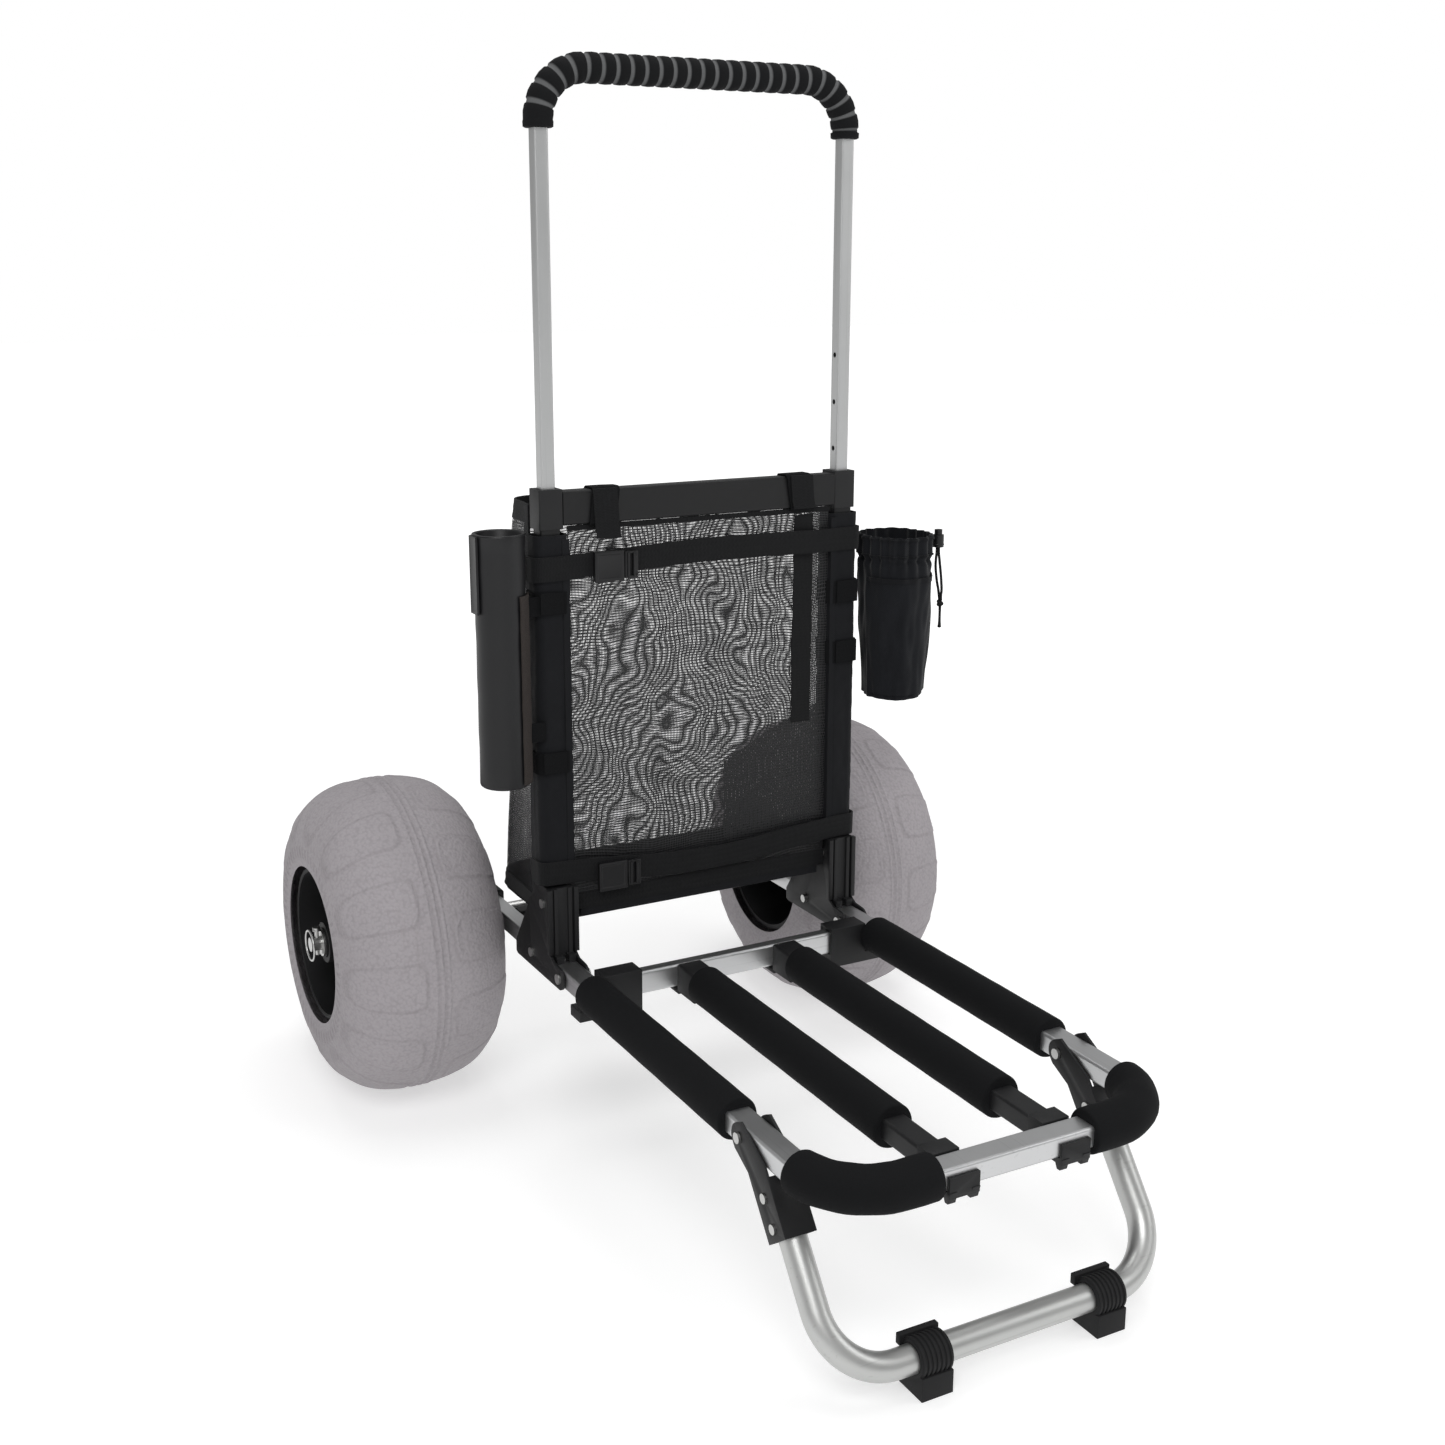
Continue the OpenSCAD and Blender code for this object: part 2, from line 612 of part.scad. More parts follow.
// Mesh bag hung behind the frame: front panel between the posts, two sides, back and bottom
bag_t = 3;
bag_z = [241, 688];
bag_top_d = 99;
module mesh_bag() {
    inner = post_x - sleeve_w / 2 - 3;
    bracket_back = 45;
    color("#2a2b2e") {
        translate([-inner, post_y - 11, bag_z[0] + 10]) cube([2 * inner, bag_t, top_bar_z - bag_z[0] - 14]);
        translate([-inner + 1.5, post_y - 11, bag_z[0]]) cube([2 * inner - 3, bracket_back + 12, 12]);
        for (s = [-1, 1]) on_side(s) translate([bag_w / 2 - bag_t, post_y, 0]) rotate([90, 0, 90])
            linear_extrude(bag_t) polygon([[18, 292], [bracket_back, 292], [bracket_back, bag_z[0] + 3],
                [bag_d, bag_z[0]], [bag_top_d, bag_z[1] - 10], [bag_top_d - 12, bag_z[1]], [18, bag_z[1]]]);
        translate([-bag_w / 2, post_y, 0]) rotate([90, 0, 90]) linear_extrude(bag_w)
            polygon([[bracket_back, bag_z[0]], [bag_d, bag_z[0]], [bag_top_d, bag_z[1] - 10],
                [bag_top_d - bag_t, bag_z[1] - 10], [bag_d - bag_t, bag_z[0] + 12], [bracket_back, bag_z[0] + 12]]);
    }
}

// Webbing loops that hang the bag from the top bar
module bag_loops() {
    bar_y = post_y - (collar_d - top_bar_d) / 2;
    color("#1d1e20") for (x = [-116, 117]) translate([x, bar_y, 0]) {
        difference() {
            translate([0, 0, top_bar_z + top_bar_h / 2]) cube([30, top_bar_d + 5, top_bar_h + 5], center = true);
            translate([0, 0, top_bar_z + top_bar_h / 2]) cube([32, top_bar_d + 0.8, top_bar_h + 0.8], center = true);
        }
        translate([-12, -(top_bar_d / 2 + 2.5), top_bar_z - 14]) cube([26, 1.6, 13]);
    }
}

// Webbing run across the front of both sleeves, turned back round each of them
module strap(z) {
    half = post_x + sleeve_w / 2 + 0.5;
    front = sleeve_front_y - 0.5 - strap_t;
    translate([-half - strap_t, front, z - strap_w / 2]) cube([2 * (half + strap_t), strap_t, strap_w]);
    for (s = [-1, 1]) on_side(s) translate([half, front, z - strap_w / 2]) cube([strap_t, sleeve_d - 4, strap_w]);
}
module upper_strap() { color("#222325") strap(upper_strap_z); }
module lower_strap() { color("#222325") strap(lower_strap_z); }

// Side-release buckles lying on the straps
module buckle(z) {
    front = sleeve_front_y - 0.7 - strap_t;
    translate([buckle_x - 25, front - 5.5, z - 16]) cube([34, 5.5, 32]);
    translate([buckle_x + 9, front - 4.5, z - 14]) cube([10, 4.5, 28]);
    translate([buckle_x + 19, front - 5, z - 16]) cube([6, 5, 32]);
}
module strap_buckles() { color("#0e0e0f") for (z = [upper_strap_z, lower_strap_z]) buckle(z); }

// Open tube for a rod's butt, with a floor and a slotted hook strip on its outer side
module rod_holder() {
    color("#19191b") translate([rod_x, post_y, 0]) difference() {
        union() {
            translate([0, 0, rod_z[0]]) cylinder(r = rod_r, h = rod_z[1] - rod_z[0]);
            translate([-rod_r - 2.5, -9, rod_z[1] - 80]) cube([4, 18, 78]);
        }
        translate([0, 0, rod_z[0] + 5]) cylinder(r = rod_r - 3, h = rod_z[1] - rod_z[0]);
        translate([0, 0, rod_z[0] - 1]) cylinder(r = 8, h = 10);
    }
}

// Hook-and-loop strips between the rod holder and the left sleeve, and their bands round the sleeve
module rod_holder_straps() {
    left = rod_x + rod_r + gap;
    sleeve_left = -post_x - sleeve_w / 2 - 0.4;
    color("#2b2826") {
        difference() {
            translate([left, post_y - 9, 404]) cube([sleeve_left - left, 16, 196]);
            translate([rod_x, post_y, 390]) cylinder(r = rod_r + gap, h = 230);
        }
    }
    color("#1b1c1e") for (z = [588, 420]) translate([0, 0, z - 12]) difference() {
        translate([-post_x - sleeve_w / 2 - 3.4, sleeve_front_y - 1.6, 0]) cube([sleeve_w + 5.5, sleeve_d + 3.2, 23]);
        translate([-post_x - sleeve_w / 2 - 0.4, sleeve_front_y - 0.4, -1]) cube([sleeve_w + 0.8, sleeve_d + 0.8, 30]);
        translate([left - 10, post_y - 12, -1]) cube([sleeve_left - left + 12, 22, 30]);
    }
}

// Drawstring pouch: round bag with an open mouth
module pouch() {
    color("#1b1c1f") translate([pouch_x, pouch_y, 0]) difference() {
        translate([0, 0, pouch_z[0]]) rotate_extrude() polygon([[0, 0], [40, 0], [45, 20], [48, 120], [48, 172],
            [46, 184], [0, 184]]);
        translate([0, 0, pouch_z[0] + 4]) rotate_extrude() polygon([[0, 0], [37, 0], [42, 18], [45, 116], [45, 168],
            [43, 190], [0, 190]]);
    }
}

module pouch_straps() {
    color("#1b1c1e") for (z = [570, 502]) translate([0, 0, z - 13]) difference() {
        translate([post_x - sleeve_w / 2 - 2, sleeve_front_y - 1.6, 0]) cube([sleeve_w + 10, sleeve_d + 3.2, 26]);
        translate([post_x - sleeve_w / 2 - 0.4, sleeve_front_y - 0.4, -1]) cube([sleeve_w + 0.8, sleeve_d + 0.8, 30]);
        translate([pouch_x, pouch_y, -1]) cylinder(r = 48.3, h = 30);
    }
}

// Spring cord lock at the pouch's mouth
module cord_lock() {
    color("#0f0f10") translate(lock_at) difference() {
        translate([0, 0, -9]) cylinder(d = 13, h = 14);
        translate([0, 0, -6]) cylinder(d = 9.4, h = 20);
        for (y = [-1, 1]) translate([0, y * 2, -10]) cylinder(d = cord_d + 0.2, h = 6);
    }
}
module cord_lock_button() {
    color("#1c1c1d") translate(lock_at) cylinder(d = 9, h = 11);
}

// Ring of points round one point of a path
function ring(p, r, n) = [for (k = [0:n - 1]) p + [r * cos(k * 360 / n), r * sin(k * 360 / n), 0]];

// Upright tube along a list of points, closed at both ends
module cord_tube(points, d, n = 8) {
    rows = len(points);
    polyhedron(
        points = [for (p = points) each ring(p, d / 2, n)],
        faces = concat(
            [[for (k = [n - 1:-1:0]) k]],
            [for (i = [0:rows - 2], k = [0:n - 1])
                [i * n + k, i * n + (k + 1) % n, (i + 1) * n + (k + 1) % n, (i + 1) * n + k]],
            [[for (k = [0:n - 1]) (rows - 1) * n + k]]));
}

// Drawcord: two strands from the cord lock down to the knot, which has the tail under it
strand_front = [[304.5, 88, 611], [304.5, 88, 603], [305, 87, 595], [306, 86.5, 586], [307, 86, 577],
                [308, 86, 568], [309, 86.5, 559], [309.5, 88, 552], [310, 88.4, 546.5]];
strand_back = [[304.5, 92, 611], [304.5, 92, 603], [304.5, 93, 595], [305, 94, 586], [306, 94, 577],
               [307.5, 94, 568], [309, 93, 559], [309.5, 92, 552], [310, 91.6, 546.5]];
module drawcord_front() { color("#202123") cord_tube(strand_front, cord_d); }
module drawcord_back() { color("#202123") cord_tube(strand_back, cord_d); }
module drawcord_knot() {
    color("#202123") translate([310, 90, 541.5]) {
        sphere(d = 9, $fn = 24);
        translate([0, 0, -28]) cylinder(d1 = 5, d2 = 4, h = 26, $fn = 24);
    }
}

post_left();
post_right();
collar_left();
collar_right();
top_bar();
side_bracket_left();
side_bracket_right();
arm_left();
arm_right();
rear_cross_tube();
axle_blocks();
axle();
axle_washers();
linchpins();
frame_screws();
hinge_bolts();
post_sleeve_left();
post_sleeve_right();
mesh_bag();
bag_loops();
upper_strap();
lower_strap();
strap_buckles();
rod_holder();
rod_holder_straps();
pouch();
pouch_straps();
cord_lock();
drawcord_front();
drawcord_back();
drawcord_knot();
lock_peg_left();
lock_peg_right();
cord_lock_button();
handle_tube();
handle_grip();
handle_plugs();
platform_rail();
rear_crossbar();
crossbar_sockets();
slat_tubes();
slat_sockets();
slat_clips();
rail_foam_left();
rail_foam_right();
corner_foam_left();
corner_foam_right();
slat_foam_left();
slat_foam_right();
leg_pivot_bolts();
leg_tube();
leg_brackets();
leg_rivets();
leg_feet();
tyre_left();
tyre_right();
rim_left();
rim_right();
hub_bush_left();
hub_bush_right();
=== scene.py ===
"""Looks for a folding beach cart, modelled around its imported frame. All lengths are in metres."""

from __future__ import annotations

import logging
import math
from dataclasses import dataclass
from enum import Enum
from typing import Callable, Sequence

import bmesh
import bpy
from mathutils import Matrix, Vector, noise

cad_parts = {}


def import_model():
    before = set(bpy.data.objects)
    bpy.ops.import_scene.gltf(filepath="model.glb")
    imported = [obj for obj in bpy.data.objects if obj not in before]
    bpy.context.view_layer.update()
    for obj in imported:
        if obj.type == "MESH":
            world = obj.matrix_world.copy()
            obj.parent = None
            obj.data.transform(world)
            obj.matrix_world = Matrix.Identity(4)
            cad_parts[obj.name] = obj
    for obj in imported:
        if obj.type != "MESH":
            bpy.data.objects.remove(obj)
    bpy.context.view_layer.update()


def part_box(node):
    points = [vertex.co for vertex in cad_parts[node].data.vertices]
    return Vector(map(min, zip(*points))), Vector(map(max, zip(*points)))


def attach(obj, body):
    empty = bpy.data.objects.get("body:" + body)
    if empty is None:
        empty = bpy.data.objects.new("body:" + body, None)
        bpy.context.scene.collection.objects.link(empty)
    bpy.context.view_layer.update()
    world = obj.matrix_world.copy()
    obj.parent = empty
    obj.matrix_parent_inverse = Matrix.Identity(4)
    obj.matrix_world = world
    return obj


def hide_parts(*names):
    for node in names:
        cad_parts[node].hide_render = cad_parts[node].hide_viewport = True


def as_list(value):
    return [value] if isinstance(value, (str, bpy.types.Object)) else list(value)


log = logging.getLogger("beach_cart")

MM = 0.001
MERGE = 0.02 * MM

# The tyre's tread, which the mesh raises and the rubber shades.
PADS = 12
PAD_START, PAD_LONG, PAD_WIDE, PAD_CORNER = 20 * MM, 34 * MM, 24 * MM, 22 * MM
CROWN = (112 * MM, 122 * MM)
OUTER_BAND = 7.5 * MM
KNURL_START, KNURL_END = (98 * MM, 100 * MM), (111 * MM, 113 * MM)
KNURLS, KNURL_GAP, KNURL_SIDE = 60.0, 0.35, 0.3


# ---------------------------------------------------------------- shader maths


def _operator(operation: str, swapped: bool = False) -> Callable[["Value", "Value | float"], "Value"]:
    """Makes an operator that adds one Math node, whose two values may be swapped."""

    def apply(self: "Value", other: "Value | float") -> "Value":
        """Adds the node and returns its result."""
        return self.nodes.math(operation, *((other, self) if swapped else (self, other)))

    return apply


class Value:
    """A shader socket that takes part in Python arithmetic."""

    def __init__(self, nodes: "Nodes", socket: bpy.types.NodeSocket) -> None:
        """Holds a socket and the material that it belongs to."""
        self.nodes = nodes
        self.socket = socket

    __add__ = __radd__ = _operator("ADD")
    __sub__ = _operator("SUBTRACT")
    __rsub__ = _operator("SUBTRACT", swapped=True)
    __mul__ = __rmul__ = _operator("MULTIPLY")
    __gt__ = _operator("GREATER_THAN")

    def sine(self) -> "Value":
        """The sine of the value in radians."""
        return self.nodes.math("SINE", self)

    def size(self) -> "Value":
        """The value without its sign."""
        return self.nodes.math("ABSOLUTE", self)

    def step(self, low: float, high: float) -> "Value":
        """Rises smoothly from nought at low to one at high."""
        return self.nodes.node(
            "ShaderNodeMapRange",
            {"interpolation_type": "SMOOTHSTEP"},
            {"Value": self, "From Min": low, "From Max": high},
        )


class Nodes:
    """One material and the tree of nodes that makes it."""

    def __init__(self, name: str) -> None:
        """Starts a material with one Principled shader.

        Args:
            name: The finish's name.
        """
        self.material = bpy.data.materials.new(name)
        self.material.use_nodes = True
        self.tree = self.material.node_tree
        self.shader = self.tree.nodes["Principled BSDF"]

    def node(
        self,
        kind: str,
        settings: dict[str, object] | None = None,
        inputs: dict[str | int, object] | None = None,
        out: str | int = 0,
    ) -> Value:
        """Adds any node.

        Args:
            kind: The node's type.
            settings: Its properties, which are set first.
            inputs: Values or links for its sockets.
            out: The socket that the result is read from.

        Returns:
            The output socket as a value.
        """
        made = self.tree.nodes.new(kind)
        for key, setting in (settings or {}).items():
            setattr(made, key, setting)
        for key, value in (inputs or {}).items():
            self.put(made.inputs[key], value)
        return Value(self, made.outputs[out])

    def put(self, socket: bpy.types.NodeSocket, value: object) -> None:
        """Links a value to a socket, or sets the socket to a number or colour."""
        if isinstance(value, Value):
            self.tree.links.new(value.socket, socket)
        elif isinstance(value, (tuple, list)) and len(value) == 3 and socket.type == "RGBA":
            socket.default_value = (*value, 1.0)
        else:
            socket.default_value = value

    def math(self, operation: str, *values: Value | float) -> Value:
        """Adds one Math node and returns its result."""
        return self.node("ShaderNodeMath", {"operation": operation}, dict(enumerate(values)))

    def place(self, scale: Sequence[float] = (1, 1, 1)) -> Value:
        """Object coordinates, scaled."""
        spot = self.node("ShaderNodeTexCoord", out="Object")
        return self.node("ShaderNodeMapping", None, {"Vector": spot, "Scale": scale})

    def cloth(self) -> tuple[Value, Value]:
        """The two directions of a cloth, in metres, from its UV map."""
        return self.split(self.node("ShaderNodeUVMap"))[:2]

    def split(self, vector: Value) -> tuple[Value, Value, Value]:
        """The three parts of a vector."""
        made = self.tree.nodes.new("ShaderNodeSeparateXYZ")
        self.tree.links.new(vector.socket, made.inputs[0])
        return tuple(Value(self, socket) for socket in made.outputs)

    def noise(
        self, scale: float, detail: float = 2.0, rough: float = 0.5, stretch: Sequence[float] = (1, 1, 1)
    ) -> Value:
        """Soft noise between about nought and one, on object coordinates that may be stretched."""
        return self.node(
            "ShaderNodeTexNoise", None,
            {"Vector": self.place(stretch), "Scale": scale, "Detail": detail, "Roughness": rough},
        )

    def cells(self, scale: float, feature: str = "F1", stretch: Sequence[float] = (1, 1, 1)) -> Value:
        """Distances of a cell pattern, on object coordinates that may be stretched."""
        return self.node(
            "ShaderNodeTexVoronoi", {"feature": feature}, {"Vector": self.place(stretch), "Scale": scale},
            "Distance",
        )

    def blend(self, factor: Value | float, low: object, high: object) -> Value:
        """Mixes two colours."""
        return self.node("ShaderNodeMix", {"data_type": "RGBA"}, {0: factor, 6: low, 7: high}, 2)

    def bump(self, height: Value, depth: float, strength: float = 1.0, under: Value | None = None) -> Value:
        """A bump of a given depth in metres, on top of another if one is given."""
        inputs: dict[str | int, object] = {"Height": height, "Distance": depth, "Strength": strength}
        if under is not None:
            inputs["Normal"] = under
        return self.node("ShaderNodeBump", None, inputs)

    def dress(self, **sockets: object) -> bpy.types.Material:
        """Sets the shader's sockets, whose names are written with low lines, and returns the material."""
        for name, value in sockets.items():
            self.put(self.shader.inputs[name.replace("_", " ").title().replace("Ior", "IOR")], value)
        return self.material


Colour = tuple[float, float, float]


def shade(tone: Colour, factor: float) -> Colour:
    """A colour made lighter or darker."""
    return tuple(part * factor for part in tone)


@dataclass(frozen=True)
class DrawnAluminium:
    """Anodised tube with fine lines along the way it was drawn."""

    name: str
    tone: Colour = (0.47, 0.475, 0.475)
    along: int = 2
    rough: float = 0.38

    def material(self) -> bpy.types.Material:
        """Builds the finish."""
        nodes = Nodes(self.name)
        fine, smooth = 900.0, 9.0
        scale = tuple(smooth if axis == self.along else fine for axis in range(3))
        lines = nodes.noise(1.0, 3.0, 0.6, stretch=scale)
        cloud = nodes.noise(14.0, 4.0, 0.6)
        coarse = tuple(0.35 * part for part in scale)
        scratch = nodes.noise(1.0, 1.0, stretch=coarse).step(0.66, 0.72)
        tone = nodes.blend(cloud * 0.6 + lines * 0.4, shade(self.tone, 0.86), self.tone)
        return nodes.dress(
            base_color=nodes.blend(scratch * 0.25, tone, shade(self.tone, 0.6)),
            metallic=1.0,
            roughness=self.rough + lines * 0.14 + cloud * 0.1 - 0.1,
            normal=nodes.bump(lines + cloud * 0.3, 0.00012, 0.35),
        )


@dataclass(frozen=True)
class CoatedSteel:
    """Black powder coat with a little orange peel and rubbed patches."""

    name: str
    tone: Colour = (0.0042, 0.0043, 0.0048)
    rough: float = 0.4

    def material(self) -> bpy.types.Material:
        """Builds the finish."""
        nodes = Nodes(self.name)
        peel = nodes.noise(620.0, 2.0)
        cloud = nodes.noise(22.0, 5.0, 0.65)
        rubbed = cloud.step(0.52, 0.75)
        return nodes.dress(
            base_color=nodes.blend(rubbed * 0.5, self.tone, shade(self.tone, 2.1)),
            roughness=self.rough + cloud * 0.2,
            specular_ior_level=0.3,
            normal=nodes.bump(peel, 0.0002, 0.25),
        )


@dataclass(frozen=True)
class MouldedNylon:
    """Moulded black plastic with a fine grain and faint flow marks."""

    name: str
    tone: Colour = (0.0048, 0.0049, 0.0054)
    rough: float = 0.42
    grain: float = 0.3

    def material(self) -> bpy.types.Material:
        """Builds the finish."""
        nodes = Nodes(self.name)
        grain = nodes.noise(1500.0, 2.0)
        flow = nodes.noise(1.0, 4.0, 0.6, stretch=(18, 60, 18))
        dust = nodes.noise(240.0, 4.0, 0.75).step(0.6, 0.8)
        tone = nodes.blend(flow, self.tone, shade(self.tone, 1.7))
        return nodes.dress(
            base_color=nodes.blend(dust * 0.12, tone, (0.03, 0.03, 0.031)),
            roughness=self.rough + flow * 0.16 + grain * 0.06,
            specular_ior_level=0.32,
            normal=nodes.bump(grain, 0.00025, self.grain),
        )


@dataclass(frozen=True)
class CellFoam:
    """Closed-cell foam sleeve: dull, with tiny open cells and soft dents."""

    name: str
    tone: Colour = (0.0046, 0.0048, 0.0053)
    groove: Colour | None = None

    def material(self) -> bpy.types.Material:
        """Builds the finish."""
        nodes = Nodes(self.name)
        cells = nodes.cells(1400.0)
        dents = nodes.noise(55.0, 3.0)
        lint = nodes.noise(520.0, 5.0, 0.8).step(0.63, 0.78)
        tone = nodes.blend(dents, self.tone, shade(self.tone, 1.5))
        tone = nodes.blend(lint * 0.12, tone, (0.04, 0.04, 0.042))
        if self.groove:
            mask = nodes.node("ShaderNodeAttribute", {"attribute_name": "groove"}, out="Fac")
            tone = nodes.blend(mask, tone, self.groove)
        return nodes.dress(
            base_color=tone,
            roughness=0.82 + dents * 0.14,
            specular_ior_level=0.14,
            normal=nodes.bump(cells * 0.7 + dents * 0.6, 0.0005, 0.3),
        )


@dataclass(frozen=True)
class BalloonRubber:
    """Warm grey low-pressure tyre skin: pebbled, with raised lines that outline its tread pads, and painted
    shade beside the lines and on the knurl ticks.
    """

    name: str
    tone: Colour = (0.335, 0.313, 0.328)

    def material(self) -> bpy.types.Material:
        """Builds the finish."""
        nodes = Nodes(self.name)
        # The second mask is painted shade beside the tread lines and on the knurl ticks.
        tread, low = self._tread(nodes)
        pebble = nodes.cells(330.0, "SMOOTH_F1")
        cloud = nodes.noise(9.0, 6.0, 0.62)
        scuff = nodes.noise(1.0, 6.0, 0.7, stretch=(30, 9, 9)).step(0.6, 0.8)
        specks = nodes.noise(150.0, 4.0, 0.8).step(0.68, 0.78)
        tone = nodes.blend(cloud, shade(self.tone, 0.86), shade(self.tone, 1.08))
        tone = nodes.blend(scuff * 0.3, tone, (0.2, 0.175, 0.165))
        tone = nodes.blend(pebble.step(0.25, 0.75) * 0.3, tone, (0.19, 0.175, 0.185))
        # Painted shade: darkens the skin beside the tread lines and on the knurl ticks.
        tone = nodes.blend(low * 0.17, tone, (0.14, 0.125, 0.13))
        return nodes.dress(
            base_color=nodes.blend(specks * 0.4, tone, (0.09, 0.07, 0.06)),
            roughness=0.7 + cloud * 0.16,
            specular_ior_level=0.35,
            normal=nodes.bump(tread, 0.0008, 0.4, nodes.bump(1 - pebble, 0.0016, 0.6)),
        )

    def _tread(self, nodes: Nodes) -> tuple[Value, Value]:
        """Works out the tread from the distance along the axle and the turn round it.

        Args:
            nodes: The material that it belongs to.

        Returns:
            The height of the tread, and how much painted shade a point gets, beside the lines and on the
            knurl ticks.
        """
        low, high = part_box("tyre_right")
        mid, spread = (low + high) / 2, (high - low) / 2
        radius, half = spread.z, spread.x
        x, y, z = nodes.split(nodes.node("ShaderNodeTexCoord", out="Object"))
        side = x.size() - mid.x
        across, up = y - mid.y, z - mid.z
        turn = nodes.math("ARCTAN2", across, up)
        pitch = 2 * math.pi * radius / PADS
        run = turn * radius + (side > 0.0) * (pitch / 2)
        phase = nodes.math("FLOORED_MODULO", run, pitch) - pitch / 2
        long_way = (side.size() - (PAD_START + PAD_LONG)).size() - PAD_LONG
        edge = nodes.math("SMOOTH_MAX", long_way, phase.size() - PAD_WIDE, PAD_CORNER)
        reach = nodes.math("SQRT", across * across + up * up)
        crown = reach.step(*CROWN)
        line = (1 - edge.size().step(0.0006, 0.0022)) * crown
        shade = (1 - (edge - 0.003).size().step(0.0005, 0.003)) * crown
        band = 1 - (side.size() - OUTER_BAND).size().step(0.0006, 0.002)
        band += 1 - side.size().step(0.0006, 0.002)
        band_shade = 1 - (side.size() - 0.0035).size().step(0.0006, 0.0026)
        spokes = (turn * KNURLS).sine() > KNURL_GAP
        ring = spokes * reach.step(*KNURL_START) * (1 - reach.step(*KNURL_END)) * (side > KNURL_SIDE * half)
        pad = (1 - edge.step(-0.002, 0.0)) * crown
        return line * 0.8 + band + ring + pad * 0.25, shade + band_shade * 0.8 + ring * 1.2


@dataclass(frozen=True)
class WovenCloth:
    """Plain-woven polyester on a UV map in metres, with soft rubbed folds."""

    name: str
    tone: Colour = (0.0042, 0.0045, 0.0055)
    pitch: float = 0.0011
    sheen: float = 0.05

    def material(self) -> bpy.types.Material:
        """Builds the finish."""
        nodes = Nodes(self.name)
        across, up = nodes.cloth()
        turn = math.pi / self.pitch
        weave = (across * turn).sine() * (up * turn).sine()
        cloud = nodes.noise(30.0, 4.0, 0.6)
        lint = nodes.noise(700.0, 5.0, 0.8).step(0.62, 0.75)
        tone = nodes.blend(cloud, self.tone, shade(self.tone, 1.9))
        tone = nodes.blend(weave.step(-0.6, 0.6) * 0.3, tone, shade(self.tone, 0.5))
        return nodes.dress(
            base_color=nodes.blend(lint * 0.1, tone, (0.05, 0.05, 0.053)),
            roughness=0.86 + weave * 0.05,
            sheen_weight=self.sheen,
            sheen_roughness=0.5,
            specular_ior_level=0.16,
            normal=nodes.bump(weave, 0.0003, 0.4, nodes.bump(cloud, 0.002, 0.25)),
        )


@dataclass(frozen=True)
class RibbedWebbing:
    """Narrow woven tape with ribs across it and a herringbone along it."""

    name: str
    tone: Colour = (0.005, 0.0053, 0.006)
    rib: float = 0.0016

    def material(self) -> bpy.types.Material:
        """Builds the finish."""
        nodes = Nodes(self.name)
        along, across = nodes.cloth()
        chevron = (across * (math.pi / 0.006)).sine().size() * 0.9
        ribs = (along * (2 * math.pi / self.rib) + chevron * 3.0).sine()
        wear = nodes.noise(90.0, 5.0, 0.7)
        tone = nodes.blend(ribs.step(-0.7, 0.7), shade(self.tone, 0.6), self.tone)
        return nodes.dress(
            base_color=nodes.blend(wear.step(0.55, 0.8) * 0.4, tone, shade(self.tone, 2.4)),
            roughness=0.78 + wear * 0.14,
            sheen_weight=0.04,
            specular_ior_level=0.2,
            normal=nodes.bump(ribs, 0.0004, 0.5),
        )


@dataclass(frozen=True)
class OpenNet:
    """Knitted net: staggered holes between glossy black threads."""

    name: str
    tone: Colour = (0.006, 0.0062, 0.007)
    pitch: float = 0.0018
    thread: float = 0.42
    cross: float = 0.3
    drift: float = 0.03

    def material(self) -> bpy.types.Material:
        """Builds the finish."""
        nodes = Nodes(self.name)
        across, up = nodes.cloth()
        pull = nodes.noise(8.0, 2.0) - 0.5
        sway = nodes.noise(10.0, 2.0, stretch=(1.0, 1.0, 1.3)) - 0.5
        turn = 2 * math.pi / self.pitch
        posts = ((across + pull * self.drift) * turn).sine()
        rungs = ((up + sway * self.drift) * (turn * 0.62)).sine()
        between = math.cos(math.pi * self.thread)
        above = math.cos(math.pi * self.cross)
        gap = 1 - posts.step(between - 0.12, between + 0.12)
        solid = 1 - gap * (1 - rungs.step(above - 0.12, above + 0.12))
        hole = posts * rungs
        return nodes.dress(
            base_color=nodes.blend(hole.step(-1, 1), self.tone, shade(self.tone, 2.2)),
            roughness=0.5,
            alpha=solid,
            normal=nodes.bump(hole, 0.0004, 0.4),
        )


@dataclass(frozen=True)
class BraidedCord:
    """Round braid, on object coordinates because the cord hangs nearly upright."""

    name: str
    tone: Colour = (0.007, 0.0072, 0.0082)

    def material(self) -> bpy.types.Material:
        """Builds the finish."""
        nodes = Nodes(self.name)
        x, y, z = nodes.split(nodes.place())
        braid = ((x + y) * 2400.0 + z * 3600.0).sine() * ((x + y) * 2400.0 - z * 3600.0).sine()
        return nodes.dress(
            base_color=nodes.blend(braid.step(-0.5, 0.5), shade(self.tone, 0.5), self.tone),
            roughness=0.75 + braid * 0.08,
            specular_ior_level=0.25,
            normal=nodes.bump(braid, 0.0003, 0.5),
        )


@dataclass(frozen=True)
class PlatedSteel:
    """Zinc-plated hardware with a faint cloudy tint."""

    name: str
    tone: Colour = (0.58, 0.58, 0.57)

    def material(self) -> bpy.types.Material:
        """Builds the finish."""
        nodes = Nodes(self.name)
        cloud = nodes.noise(160.0, 4.0, 0.65)
        return nodes.dress(
            base_color=nodes.blend(cloud, shade(self.tone, 0.75), self.tone),
            metallic=1.0,
            roughness=0.22 + cloud * 0.24,
            normal=nodes.bump(cloud, 0.0002, 0.3),
        )


